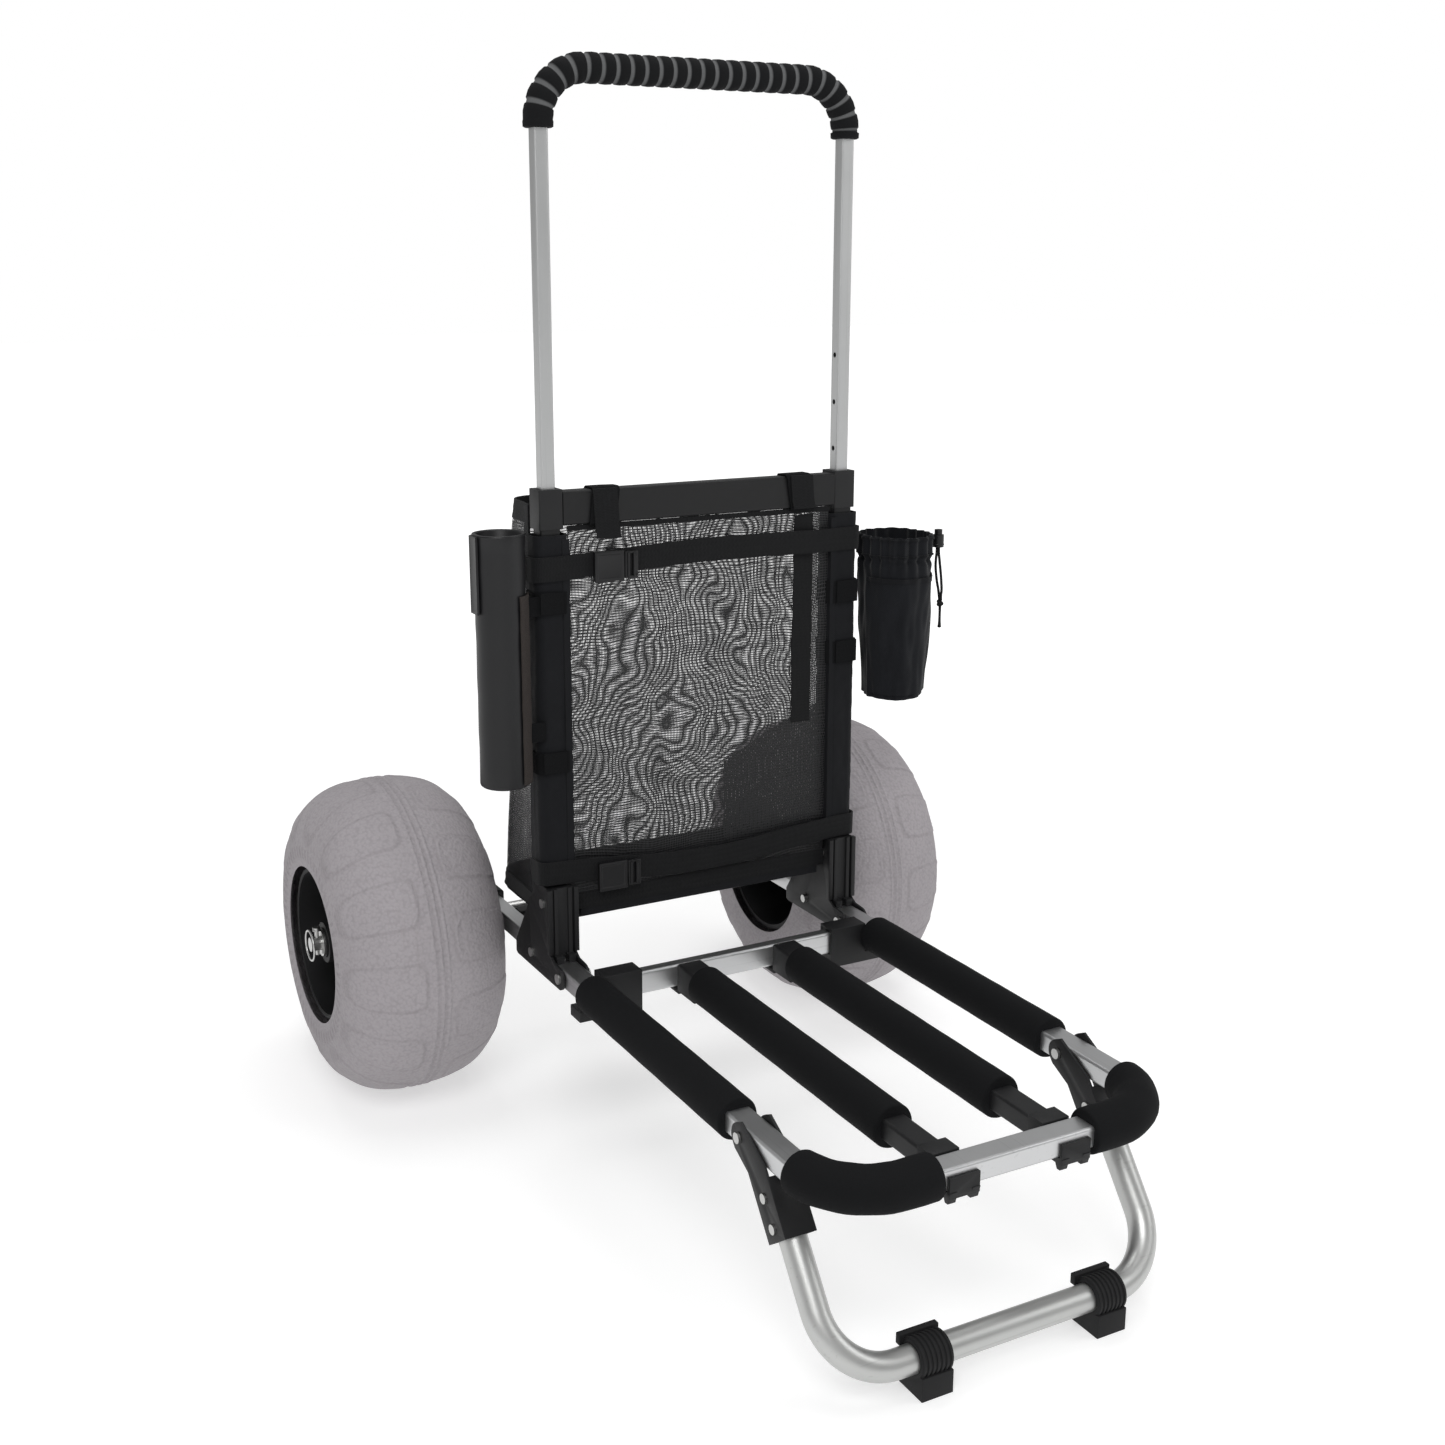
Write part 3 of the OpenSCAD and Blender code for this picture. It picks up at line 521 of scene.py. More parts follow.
@dataclass(frozen=True)
class HookTape:
    """Hook-and-loop tape: a dull nap of tiny loops."""

    name: str
    tone: Colour = (0.0048, 0.005, 0.0055)

    def material(self) -> bpy.types.Material:
        """Builds the finish."""
        nodes = Nodes(self.name)
        nap = nodes.noise(1900.0, 4.0, 0.8)
        rows = nodes.cells(950.0, stretch=(1.0, 1.0, 0.6))
        cloud = nodes.noise(60.0, 3.0)
        tone = nodes.blend(nap.step(0.35, 0.7), shade(self.tone, 0.6), shade(self.tone, 1.7))
        return nodes.dress(
            base_color=nodes.blend(cloud * 0.4, tone, shade(self.tone, 1.2)),
            roughness=0.92 + cloud * 0.05,
            specular_ior_level=0.12,
            normal=nodes.bump(nap + rows, 0.0006, 0.5),
        )


class Finish(Enum):
    """Every finish on the cart."""

    UPRIGHT_TUBE = DrawnAluminium("upright_tube", along=2)
    RAIL_TUBE = DrawnAluminium("rail_tube", (0.6, 0.605, 0.61), along=1, rough=0.34)
    CROSS_TUBE = DrawnAluminium("cross_tube", (0.6, 0.605, 0.61), along=0, rough=0.34)
    LEG_TUBE = DrawnAluminium("leg_tube_polish", (0.55, 0.555, 0.545), along=0, rough=0.4)
    DARK_TUBE = CoatedSteel("dark_slat_tube", (0.0085, 0.0086, 0.0092), 0.42)
    BLACK_FRAME = CoatedSteel("black_frame")
    NYLON = MouldedNylon("moulded_nylon")
    RIM = MouldedNylon("rim_nylon", (0.004, 0.004, 0.0045), 0.5)
    BUCKLE = MouldedNylon("buckle_acetal", (0.004, 0.004, 0.0045), 0.3, 0.12)
    ROD_TUBE = MouldedNylon("rod_tube_plastic", (0.005, 0.0051, 0.0058), 0.34, 0.15)
    FOOT = MouldedNylon("foot_rubber", (0.0055, 0.0055, 0.006), 0.62, 0.4)
    FOAM = CellFoam("sleeve_foam")
    GRIP = CellFoam("grip_foam", (0.0046, 0.0048, 0.0053), (0.1, 0.102, 0.104))
    TYRE = BalloonRubber("balloon_tyre")
    CLOTH = WovenCloth("black_polyester")
    POUCH = WovenCloth("pouch_polyester", (0.0045, 0.005, 0.0064), 0.0013, 0.08)
    WEBBING = RibbedWebbing("black_webbing")
    NET = OpenNet("bag_net")
    DENSE_NET = OpenNet("bag_pocket_net", pitch=0.0026, thread=0.62, cross=0.45, drift=0.002)
    CORD = BraidedCord("drawcord_braid")
    PLATED = PlatedSteel("plated_hardware")
    HOOK_TAPE = HookTape("hook_tape")
    HOOK_BACKING = HookTape("hook_backing", (0.034, 0.029, 0.027))


_made: dict[Finish, bpy.types.Material] = {}


def finish_of(which: Finish) -> bpy.types.Material:
    """Returns a finish's material, which is built the first time it is asked for."""
    if which not in _made:
        _made[which] = which.value.material()
    return _made[which]


# ---------------------------------------------------------------- modelling by hand


def deselect() -> None:
    """Clears the selection, which the loaded frame leaves full."""
    for obj in bpy.context.selected_objects:
        obj.select_set(False)


def take(*pieces: bpy.types.Object) -> None:
    """Selects some objects alone, with the first one active."""
    deselect()
    for obj in pieces:
        obj.select_set(True)
    bpy.context.view_layer.objects.active = pieces[0]


class Form:
    """A piece on the bench: it starts as a primitive and is then shaped in edit mode."""

    def __init__(self, name: str) -> None:
        """Takes the primitive that was just added and puts its place into its mesh.

        Args:
            name: The piece's name.
        """
        self.obj: bpy.types.Object = bpy.context.object
        self.obj.name = self.obj.data.name = name
        bpy.ops.object.transform_apply(location=True, rotation=True, scale=True)

    @classmethod
    def block(cls, name: str, low: Sequence[float], high: Sequence[float]) -> "Form":
        """Starts from a block between two corners."""
        deselect()
        low, high = Vector(low), Vector(high)
        bpy.ops.mesh.primitive_cube_add(size=1, location=(low + high) / 2, scale=high - low)
        return cls(name)

    @classmethod
    def sheet(cls, name: str, columns: int, rows: int) -> "Form":
        """Starts from a flat unit grid."""
        deselect()
        bpy.ops.mesh.primitive_grid_add(
            x_subdivisions=columns, y_subdivisions=rows, size=1, location=(0.5, 0.5, 0)
        )
        return cls(name)

    def edit(self) -> None:
        """Enters edit mode on this piece alone."""
        take(self.obj)
        bpy.ops.object.mode_set(mode="EDIT")

    def done(self) -> None:
        """Leaves edit mode."""
        bpy.ops.object.mode_set(mode="OBJECT")

    def pick(self, test: Callable[[Vector, Vector], bool]) -> None:
        """Selects the faces whose middle and normal pass a test."""
        bpy.ops.mesh.select_mode(type="FACE")
        bpy.ops.mesh.select_all(action="DESELECT")
        shape = bmesh.from_edit_mesh(self.obj.data)
        for face in shape.faces:
            face.select_set(test(face.calc_center_median(), face.normal))
        bmesh.update_edit_mesh(self.obj.data)

    def draw_out(self, move: Sequence[float]) -> None:
        """Extrudes the selected faces along a move."""
        bpy.ops.mesh.extrude_region_move(TRANSFORM_OT_translate={"value": tuple(move)})

    def inset(self, thickness: float, depth: float = 0.0) -> None:
        """Insets the selected faces."""
        bpy.ops.mesh.inset(thickness=thickness, depth=depth)

    def modify(self, kind: str, **settings: object) -> None:
        """Adds a modifier and applies it."""
        take(self.obj)
        modifier = self.obj.modifiers.new(kind.lower(), kind)
        for key, value in settings.items():
            setattr(modifier, key, value)
        bpy.ops.object.modifier_apply(modifier=modifier.name)

    def soften(self, width: float, segments: int = 2, angle: float = 35.0) -> None:
        """Rounds the sharp edges."""
        self.modify(
            "BEVEL", width=width, segments=segments, limit_method="ANGLE",
            angle_limit=math.radians(angle), use_clamp_overlap=True,
        )

    def clean(self, outward: bool = True) -> None:
        """Merges doubled points and turns the faces outwards."""
        self.edit()
        bpy.ops.mesh.select_all(action="SELECT")
        bpy.ops.mesh.remove_doubles(threshold=MERGE)
        if outward:
            bpy.ops.mesh.normals_make_consistent(inside=False)
        self.done()

    def place_points(self, place: Callable[[Vector], Vector]) -> None:
        """Moves every point of the mesh to where a function says."""
        for point in self.obj.data.vertices:
            point.co = place(point.co.copy())
        self.obj.data.update()

    def lay_uv(self, flat: Callable[[Vector], tuple[float, float]]) -> None:
        """Writes a UV map in metres from the points' places."""
        mesh = self.obj.data
        layer = mesh.uv_layers.active or mesh.uv_layers.new(name="UVMap")
        for loop in mesh.loops:
            layer.data[loop.index].uv = flat(mesh.vertices[loop.vertex_index].co)

    def mark(self, name: str, value: Callable[[Vector], float]) -> None:
        """Writes a number for every point into an attribute."""
        layer = self.obj.data.attributes.new(name, "FLOAT", "POINT")
        for point, item in zip(self.obj.data.vertices, layer.data):
            item.value = value(point.co)

    def smooth(self, angle: float = 40.0) -> None:
        """Shades the piece smooth, with creases sharper than an angle kept."""
        take(self.obj)
        bpy.ops.object.shade_smooth_by_angle(angle=math.radians(angle))

    def give(
        self, finish: Finish, replaces: Sequence[str] = (), angle: float = 60.0, body: str = "back_frame"
    ) -> bpy.types.Object:
        """Shades, dresses and mounts the finished piece.

        Args:
            finish: Its finish, which also says its material slot.
            replaces: The CAD nodes that it stands for.
            angle: The sharpest angle that is shaded smooth, in degrees.
            body: The body that it rides on.

        Returns:
            The piece.
        """
        self.smooth(angle)
        self.obj.data.materials.clear()
        self.obj.data.materials.append(finish_of(finish))
        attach(self.obj, body)
        if replaces:
            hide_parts(*replaces)
        log.info("%s: %d faces on %s", self.obj.name, len(self.obj.data.polygons), body)
        return self.obj


class Sweep(Form):
    """A round section that is drawn along straights and bends, ring by ring."""

    @classmethod
    def start(
        cls, name: str, at: Sequence[float], heading: Sequence[float], radius: float, sides: int = 32
    ) -> "Sweep":
        """Adds the first disc.

        Args:
            name: The piece's name.
            at: The disc's middle.
            heading: The way it faces.
            radius: Its radius.
            sides: How many sides it has.

        Returns:
            The sweep, in edit mode with its disc selected.
        """
        deselect()
        way = Vector(heading).normalized()
        turn = way.to_track_quat("Z", "Y").to_euler()
        bpy.ops.mesh.primitive_circle_add(
            vertices=sides, radius=radius, fill_type="NGON", location=at, rotation=turn
        )
        sweep = cls(name)
        sweep.at, sweep.way, sweep.radius = Vector(at), way, radius
        sweep.edit()
        bpy.ops.mesh.select_all(action="SELECT")
        return sweep

    def forward(self, distance: float, radius: float | None = None) -> "Sweep":
        """Draws the end out in a straight line, to a new radius if one is given."""
        move = self.way * distance
        self.draw_out(move)
        self.at = self.at + move
        return self.widen(radius)

    def bend(self, angle: float, pivot: Sequence[float], axis: Sequence[float], steps: int = 1,
             radius: float | None = None) -> "Sweep":
        """Draws the end round a pivot by an angle in radians."""
        bpy.ops.mesh.spin(steps=steps, angle=-angle, center=pivot, axis=axis)
        turn = Matrix.Rotation(angle, 3, Vector(axis))
        self.at = turn @ (self.at - Vector(pivot)) + Vector(pivot)
        self.way = turn @ self.way
        return self.widen(radius)

    def widen(self, radius: float | None) -> "Sweep":
        """Changes the end's radius about its middle."""
        if radius is not None and abs(radius - self.radius) > 1e-7:
            factor = radius / self.radius
            bpy.ops.transform.resize(value=(factor,) * 3, center_override=self.at)
            self.radius = radius
        return self

    def close(self) -> "Sweep":
        """Leaves edit mode and tidies the mesh."""
        self.done()
        self.clean()
        return self


def ring_form(
    name: str, at: Sequence[float], turn: Sequence[float], major: float, minor: float, sides: int = 32
) -> Form:
    """Starts a piece from a ring."""
    deselect()
    bpy.ops.mesh.primitive_torus_add(
        location=at, rotation=turn, major_radius=major, minor_radius=minor, major_segments=sides,
        minor_segments=12,
    )
    return Form(name)


def cloth_form(
    name: str,
    columns: int,
    rows: int,
    width: float,
    height: float,
    place: Callable[[float, float], Sequence[float]],
    thickness: float,
    closed: bool = False,
) -> Form:
    """Makes a curved piece of cloth from a grid.

    Args:
        name: The piece's name.
        columns: Grid columns.
        rows: Grid rows.
        width: Cut width, for the weave.
        height: Cut height, for the weave.
        place: Where a point at (across, up), both from 0 to 1, lies.
        thickness: How thick the cloth is, outwards from the places.
        closed: Whether the two side edges meet.

    Returns:
        The cloth with its UV map in metres.
    """
    form = Form.sheet(name, columns, rows)
    form.lay_uv(lambda co: (co.x * width, co.y * height))
    form.place_points(lambda co: Vector(place(co.x, co.y)))
    if closed:
        form.clean(outward=False)
    form.modify("SOLIDIFY", thickness=thickness, offset=0.0, use_rim=True)
    return form


def rounded_loop(
    across: float, width: float, depth: float, radius: float
) -> tuple[float, float, float, float]:
    """A point on a rectangle with round corners, by its share of the way round.

    Args:
        across: Share of the way round from 0 to 1, from the middle of the back.
        width: Outer width.
        depth: Outer depth.
        radius: Corner radius.

    Returns:
        The point's x and y from the middle, and the outward normal's x and y.
    """
    flat_x, flat_y, arc = width - 2 * radius, depth - 2 * radius, math.pi * radius / 2
    stretches = (flat_x / 2, arc, flat_y, arc, flat_x, arc, flat_y, arc, flat_x / 2)
    left = (across % 1.0) * sum(stretches)
    x, y, angle = 0.0, depth / 2, math.pi / 2
    for index, length in enumerate(stretches):
        step = min(left, length)
        if index % 2 == 0:
            x, y = x - math.sin(angle) * step, y + math.cos(angle) * step
        else:
            turned = angle + step / radius
            x += radius * (math.cos(turned) - math.cos(angle))
            y += radius * (math.sin(turned) - math.sin(angle))
            angle = turned
        left -= step
        if left <= 0:
            break
    return x, y, math.cos(angle), math.sin(angle)


def loop_length(width: float, depth: float, radius: float) -> float:
    """The length round a rectangle with round corners."""
    return 2 * (width + depth) - 8 * radius + 2 * math.pi * radius


def ripple(place: Sequence[float], scale: float, seed: float = 0.0) -> float:
    """Soft noise from about -1 to 1 that is the same each run."""
    return noise.noise(Vector(place) * scale + Vector((seed, -seed, 0.5 * seed)))


def smooth_step(value: float, low: float, high: float) -> float:
    """Rises smoothly from nought at low to one at high."""
    share = min(1.0, max(0.0, (value - low) / (high - low)))
    return share * share * (3 - 2 * share)


def middle(node: str) -> Vector:
    """The middle of a node's box."""
    low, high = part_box(node)
    return (low + high) / 2


def softened(node: str, body: str, finish: Finish, width: float) -> None:
    """Copies a CAD node, rounds its edges and puts the copy in its place.

    Args:
        node: The CAD node.
        body: The body that it rides on.
        finish: Its finish.
        width: How wide the rounded edges are.
    """
    source = bpy.data.objects[node]
    copy = bpy.data.objects.new(f"{node}_rounded", source.data.copy())
    copy.matrix_world = source.matrix_world.copy()
    bpy.context.collection.objects.link(copy)
    take(copy)
    form = Form(f"{node}_rounded")
    form.edit()
    bpy.ops.mesh.select_all(action="SELECT")
    bpy.ops.mesh.remove_doubles(threshold=MERGE)
    bpy.ops.mesh.dissolve_limited(angle_limit=math.radians(1.0))
    form.done()
    form.soften(width, angle=30.0)
    form.give(finish, [node], 32, body)


# ---------------------------------------------------------------- studio


@dataclass
class Studio:
    """Camera, soft lights and a pale floor."""

    camera_at: Vector
    lens: float = 43.34
    pitch: float = 13.82
    yaw: float = 28.12
    shift: tuple[float, float] = (0.0145, -0.0237)
    surround: float = 0.4

    def build(self) -> None:
        """Sets the stage."""
        self._camera()
        self._floor()
        self._lights()

    def _camera(self) -> None:
        """Adds the camera."""
        data = bpy.data.cameras.new("camera")
        data.lens = self.lens
        data.sensor_width = 36.0
        data.shift_x, data.shift_y = self.shift
        camera = bpy.data.objects.new("camera", data)
        camera.location = self.camera_at
        camera.rotation_euler = (math.radians(90 - self.pitch), 0.0, math.radians(-self.yaw))
        bpy.context.scene.collection.objects.link(camera)
        bpy.context.scene.camera = camera

    def _floor(self) -> None:
        """Adds a pale floor."""
        deselect()
        bpy.ops.mesh.primitive_plane_add(size=40, location=(0, 0, 0))
        floor = bpy.context.object
        floor.name = "floor"
        nodes = Nodes("pale_floor")
        x, y, _ = nodes.split(nodes.place())
        glow = (x * x + y * y).step(0.3, 9.0)
        floor.data.materials.append(nodes.dress(
            base_color=(0.62, 0.62, 0.62), roughness=0.9,
            emission_color=nodes.blend(glow, (0.5, 0.5, 0.5), (0.92, 0.92, 0.92)), emission_strength=1.0,
        ))

    def _lights(self) -> None:
        """Adds the soft lights and a bright surround."""
        scene = bpy.context.scene
        scene.view_settings.view_transform = "Standard"
        world = bpy.data.worlds.new("surround")
        scene.world = world
        world.use_nodes = True
        back = world.node_tree.nodes["Background"]
        seen = world.node_tree.nodes.new("ShaderNodeLightPath")
        level = world.node_tree.nodes.new("ShaderNodeMapRange")
        level.inputs["To Min"].default_value = self.surround
        world.node_tree.links.new(seen.outputs["Is Camera Ray"], level.inputs["Value"])
        world.node_tree.links.new(level.outputs["Result"], back.inputs["Strength"])
        back.inputs["Color"].default_value = (1.0, 1.0, 1.0, 1.0)
        for name, place, size, power in (
            ("key", (-1.6, -2.4, 3.0), 1.8, 62.0),
            ("fill", (2.6, -1.8, 2.0), 1.6, 22.0),
            ("top", (0.2, 0.4, 3.6), 2.2, 46.0),
        ):
            data = bpy.data.lights.new(name, "AREA")
            data.energy, data.size = power, size
            light = bpy.data.objects.new(name, data)
            light.location = place
            aim = Vector((0.0, 0.0, 0.45)) - Vector(place)
            light.rotation_euler = aim.to_track_quat("-Z", "Y").to_euler()
            scene.collection.objects.link(light)


# ---------------------------------------------------------------- pouch, cords and cord lock


@dataclass
class DrawstringPouch:
    """Cloth pouch on the right post, gathered by a cord with a spring lock and a knot."""

    sides: int = 120
    rows: int = 96
    hem: float = 15 * MM
    channel: float = 12 * MM
    cloth_t: float = 1.2 * MM
    foot_share: float = 0.73
    flare: float = 0.15
    pleats: int = 19
    pocket: tuple[float, float, float] = (0.52, 0.985, 0.74)
    cord_d: float = 3 * MM
    cord_length: float = 65.1 * MM
    band_heights: tuple[float, float] = (570 * MM, 502 * MM)

    def build(self) -> None:
        """Builds the cords first, then the cloth."""
        self.low, self.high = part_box("pouch")
        self.centre = (self.low + self.high) / 2
        self.tall = self.high.z - self.low.z
        self._cords()
        self._body()
        self._pocket()
        self._mouth_cords()
        for number, z in enumerate(self.band_heights):
            hook_band(f"pouch_band_{number}", 1, z, 25 * MM, [] if number else ["pouch_straps"])

    def _strand(self, name: str, points: Sequence[tuple[float, float, float]], node: str) -> bpy.types.Object:
        """Makes one strand of cord along its points, which are in millimetres."""
        data = bpy.data.curves.new(name, "CURVE")
        data.dimensions = "3D"
        data.bevel_depth = self.cord_d / 2
        data.bevel_resolution = 4
        data.resolution_u = 6
        data.use_fill_caps = True
        spline = data.splines.new("BEZIER")
        spline.bezier_points.add(len(points) - 1)
        for knot, point in zip(spline.bezier_points, points):
            knot.co = Vector(point) * MM
            knot.handle_left_type = knot.handle_right_type = "AUTO"
        strand = bpy.data.objects.new(name, data)
        bpy.context.scene.collection.objects.link(strand)
        data.materials.append(finish_of(Finish.CORD))
        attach(strand, "back_frame")
        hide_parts(node)
        return strand

    def _cords(self) -> None:
        """Makes the two strands and the knot that ends them."""
        front = (
            (304.5, 88, 611), (304.5, 88, 603), (305, 87, 595), (306, 86.5, 586), (307, 86, 577),
            (308, 86, 568), (309, 86.5, 559), (309.5, 88, 552), (310, 88.4, 546.5),
        )
        back = (
            (304.5, 92, 611), (304.5, 92, 603), (304.5, 93, 595), (305, 94, 586), (306, 94, 577),
            (307.5, 94, 568), (309, 93, 559), (309.5, 92, 552), (310, 91.6, 546.5),
        )
        knot = self._knot()
        for word, points, pieces in (("front", front, [knot]), ("back", back, [])):
            strand = self._strand(f"drawcord_strand_{word}", points, f"drawcord_{word}")
            tuple(c * MM for c in points[0])
            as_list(pieces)

    def _knot(self) -> bpy.types.Object:
        """Ties the overhand knot with its frayed tail."""
        x, y, _ = middle("drawcord_knot")
        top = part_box("drawcord_knot")[1].z
        wrap = ring_form(
            "drawcord_overhand_knot", (x, y, top - 2.2 * MM), (0.5, 0.35, 0), 2.9 * MM, 1.6 * MM, 28
        )
        second = ring_form("wrap_b", (x, y, top - 3.8 * MM), (-0.6, 0.5, 0.4), 2.4 * MM, 1.7 * MM)
        tail = Sweep.start("tail", (x, y, top - 6 * MM), (0, 0, -1), 1.7 * MM, 14)
        for distance, radius in ((3, 1.6), (5, 1.5), (5, 1.5), (5, 1.6), (4, 1.9), (2.6, 2.3), (0.9, 1.2)):
            tail.forward(distance * MM, radius * MM)
        tail.close()
        take(wrap.obj, second.obj, tail.obj)
        bpy.ops.object.join()
        return wrap.give(Finish.CORD, ["drawcord_knot"])

    def _shape(self, share: float, height: float, grow: float = 0.0) -> Vector:
        """A point of the pouch's wall, by share of the way round and of the height."""
        angle = share * 2 * math.pi
        c, s = math.cos(angle), math.sin(angle)
        radius = self.high.x - self.centre.x - 1.5 * MM
        radius *= self.foot_share + self.flare * smooth_step(height, 0.0, 0.65)
        hem_low = 1 - (self.hem + self.channel) / self.tall
        gather = smooth_step(height, hem_low - 0.16, hem_low + 0.02)
        pleats = math.sin(angle * self.pleats + 1.3 * math.sin(angle * 3)) * 2.3 * MM * gather
        fold = 4.2 * MM * ripple((c * 2.1, s * 2.1, height * 2.3), 1.0, 3.0)
        fold += 2.0 * MM * ripple((c * 5, s * 5, height * 6), 1.0, 8.0)
        pinch = -2.6 * MM * math.exp(-(((height - hem_low) / 0.018) ** 2))
        oval = 1.0 - 0.05 * math.cos(2 * angle)
        radius = (radius + grow) * oval + pleats + fold * (1 - 0.4 * gather) + pinch
        sag = -2.0 * MM * ripple((angle, height * 3, 0), 0.9, 5.0) * (1 - height)
        x, y, _ = self.centre
        return Vector((x + radius * c, y + radius * s, self.low.z + self.tall * height + sag))

    def _body(self) -> None:
        """Makes the wall, gathered at its hem, and the stitched bottom."""
        girth = math.pi * (self.high.x - self.low.x)
        wall = cloth_form(
            "pouch_cloth", self.sides, self.rows, girth, self.tall, self._shape, self.cloth_t, closed=True
        )
        wall.give(Finish.POUCH, ["pouch"])
        floor = Form.sheet("pouch_bottom", 40, 40)
        floor.lay_uv(lambda co: (co.x * 90 * MM, co.y * 90 * MM))

        def bottom(co: Vector) -> Vector:
            """Wraps the square grid onto the pouch's bottom."""
            a, b = co.x * 2 - 1, co.y * 2 - 1
            reach = max(abs(a), abs(b))
            edge = self._shape((math.atan2(b, a) / (2 * math.pi)) % 1.0, 0.012)
            z = edge.z * reach + (self.low.z + 3.5 * MM) * (1 - reach) + 1.5 * MM * reach * (1 - reach)
            x, y, _ = self.centre
            return Vector((x + (edge.x - x) * reach, y + (edge.y - y) * reach, z))

        floor.place_points(bottom)
        floor.modify("SOLIDIFY", thickness=self.cloth_t, offset=0.0)
        floor.give(Finish.POUCH)

    def _pocket(self) -> None:
        """Sews the outer pocket and the hem's stitched rows."""
        first, last, top = self.pocket

        def patch(u: float, v: float) -> Vector:
            """Puts a point on the pocket, which stands out a little in its middle."""
            out = 1.5 * MM + 0.8 * MM * math.sin(math.pi * u)
            return self._shape(first + (last - first) * u, 0.03 + (top - 0.03) * v, out)

        pocket = cloth_form("pouch_pocket", 70, 60, 130 * MM, self.tall * top, patch, self.cloth_t)
        pocket.give(Finish.POUCH)
        for name, start, end, height, width in (
            ("pouch_pocket_binding", first, last, top, 5 * MM),
            ("pouch_hem_seam", 0.0, 1.0, 1 - (self.hem + self.channel * 0.5) / self.tall, 1.6 * MM),
            ("pouch_rim_seam", 0.0, 1.0, 1 - 2.5 * MM / self.tall, 2.4 * MM),
        ):
            closed = (start, end) == (0.0, 1.0)
            out = (1.2 if closed else 3.0) * MM

            def row(
                u: float, v: float, a: float = start, b: float = end, h: float = height, w: float = width,
                out: float = out,
            ) -> Vector:
                """Puts a point on a narrow row of tape or stitches."""
                return self._shape(a + (b - a) * u, h + (v - 0.5) * w / self.tall, out)

            tape = cloth_form(name, 150, 4, 300 * MM, width, row, 1.3 * MM, closed=closed)
            tape.give(Finish.CLOTH)

    def _mouth_cords(self) -> None:
        """Lays the short runs of cord from the hem's eyelet to the cord lock."""
        x, y, _ = middle("cord_lock")
        low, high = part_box("cord_lock")
        z = high.z - 6 * MM
        edge = self._shape(0.0, 1 - (self.hem + 4 * MM) / self.tall).x
        eyelet = ring_form("pouch_eyelet", (edge + 1 * MM, y, z), (0, math.pi / 2, 0), 3.2 * MM, 0.9 * MM)
        eyelet.give(Finish.BUCKLE)
        for number, shift in enumerate((-1 * MM, 1 * MM)):
            at = (edge - 3 * MM, y + shift, z)
            run = Sweep.start(f"pouch_cord_exit_{number}", at, (1, 0, 0), self.cord_d / 2, 12)
            run.forward(0.4 * (x - edge)).bend(-0.5, (run.at.x, y, run.at.z + 9 * MM), (0, 1, 0), 3)
            run.forward(0.35 * (x - edge)).close()
            run.give(Finish.CORD)
        collar = ring_form("cord_lock_collar", (x, y, low.z + 3 * MM), (0, 0, 0), 6.0 * MM, 1.1 * MM)
        collar.give(Finish.BUCKLE)


# ---------------------------------------------------------------- soft goods on the posts


def side_word(side: int) -> str:
    """The name of a side, which is -1 for the left and 1 for the right."""
    return "left" if side < 0 else "right"


def wrap_form(
    name: str, side: int, z_low: float, z_high: float, grow: float, thickness: float,
    rows: int, wobble: float, seed: float,
) -> Form:
    """Wraps cloth all the way round a sleeve.

    Args:
        name: The piece's name.
        side: -1 for the left post, 1 for the right.
        z_low: Lower edge.
        z_high: Upper edge.
        grow: How far it stands outside the sleeve's box.
        thickness: Its thickness.
        rows: Grid rows.
        wobble: Depth of its wrinkles.
        seed: Which wrinkles.

    Returns:
        The wrap.
    """
    low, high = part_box(f"post_sleeve_{side_word(side)}")
    centre = (low + high) / 2
    width, depth = high.x - low.x + 2 * grow, high.y - low.y + 2 * grow
    around = loop_length(width, depth, 9 * MM)

    def place(u: float, v: float) -> Vector:
        """Puts a point on the wrap."""
        x, y, nx, ny = rounded_loop(u, width - thickness, depth - thickness, 8.5 * MM)
        z = z_low + (z_high - z_low) * v
        bump = ripple((x * 3, y * 3, z * 0.7), 22.0, seed) + 0.5 * ripple((x * 2, y * 2, z * 2), 60.0, seed)
        bump *= wobble
        z += 0.25 * wobble * ripple((x, y, 0), 40.0, seed + 2) * (2 * v - 1)
        return Vector((centre.x + x + nx * bump, centre.y + y + ny * bump, z))

    return cloth_form(name, 72, rows, around, z_high - z_low, place, thickness, closed=True)


def hook_band(name: str, side: int, z: float, tall: float, replaces: Sequence[str]) -> None:
    """Straps one hook-and-loop band round a sleeve, with its loose end on the front."""
    band = wrap_form(name, side, z - tall / 2, z + tall / 2, 1.2 * MM, 1.3 * MM, 8, 0.3 * MM, z * 31)
    band.give(Finish.HOOK_TAPE, replaces)
    low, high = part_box(f"post_sleeve_{side_word(side)}")
    x = (low.x + high.x) / 2 + side * 3 * MM

    def loose_end(u: float, v: float) -> Vector:
        """Puts a point on the end, which lifts a little towards its tip."""
        return Vector((
            x + side * (u - 0.5) * 26 * MM,
            low.y - 2.4 * MM - 0.8 * MM * u * u,
            z + (v - 0.5) * tall * 0.98 + 0.8 * MM * u,
        ))

    cloth_form(f"{name}_end", 16, 8, 24 * MM, tall, loose_end, 1.2 * MM).give(Finish.HOOK_TAPE)


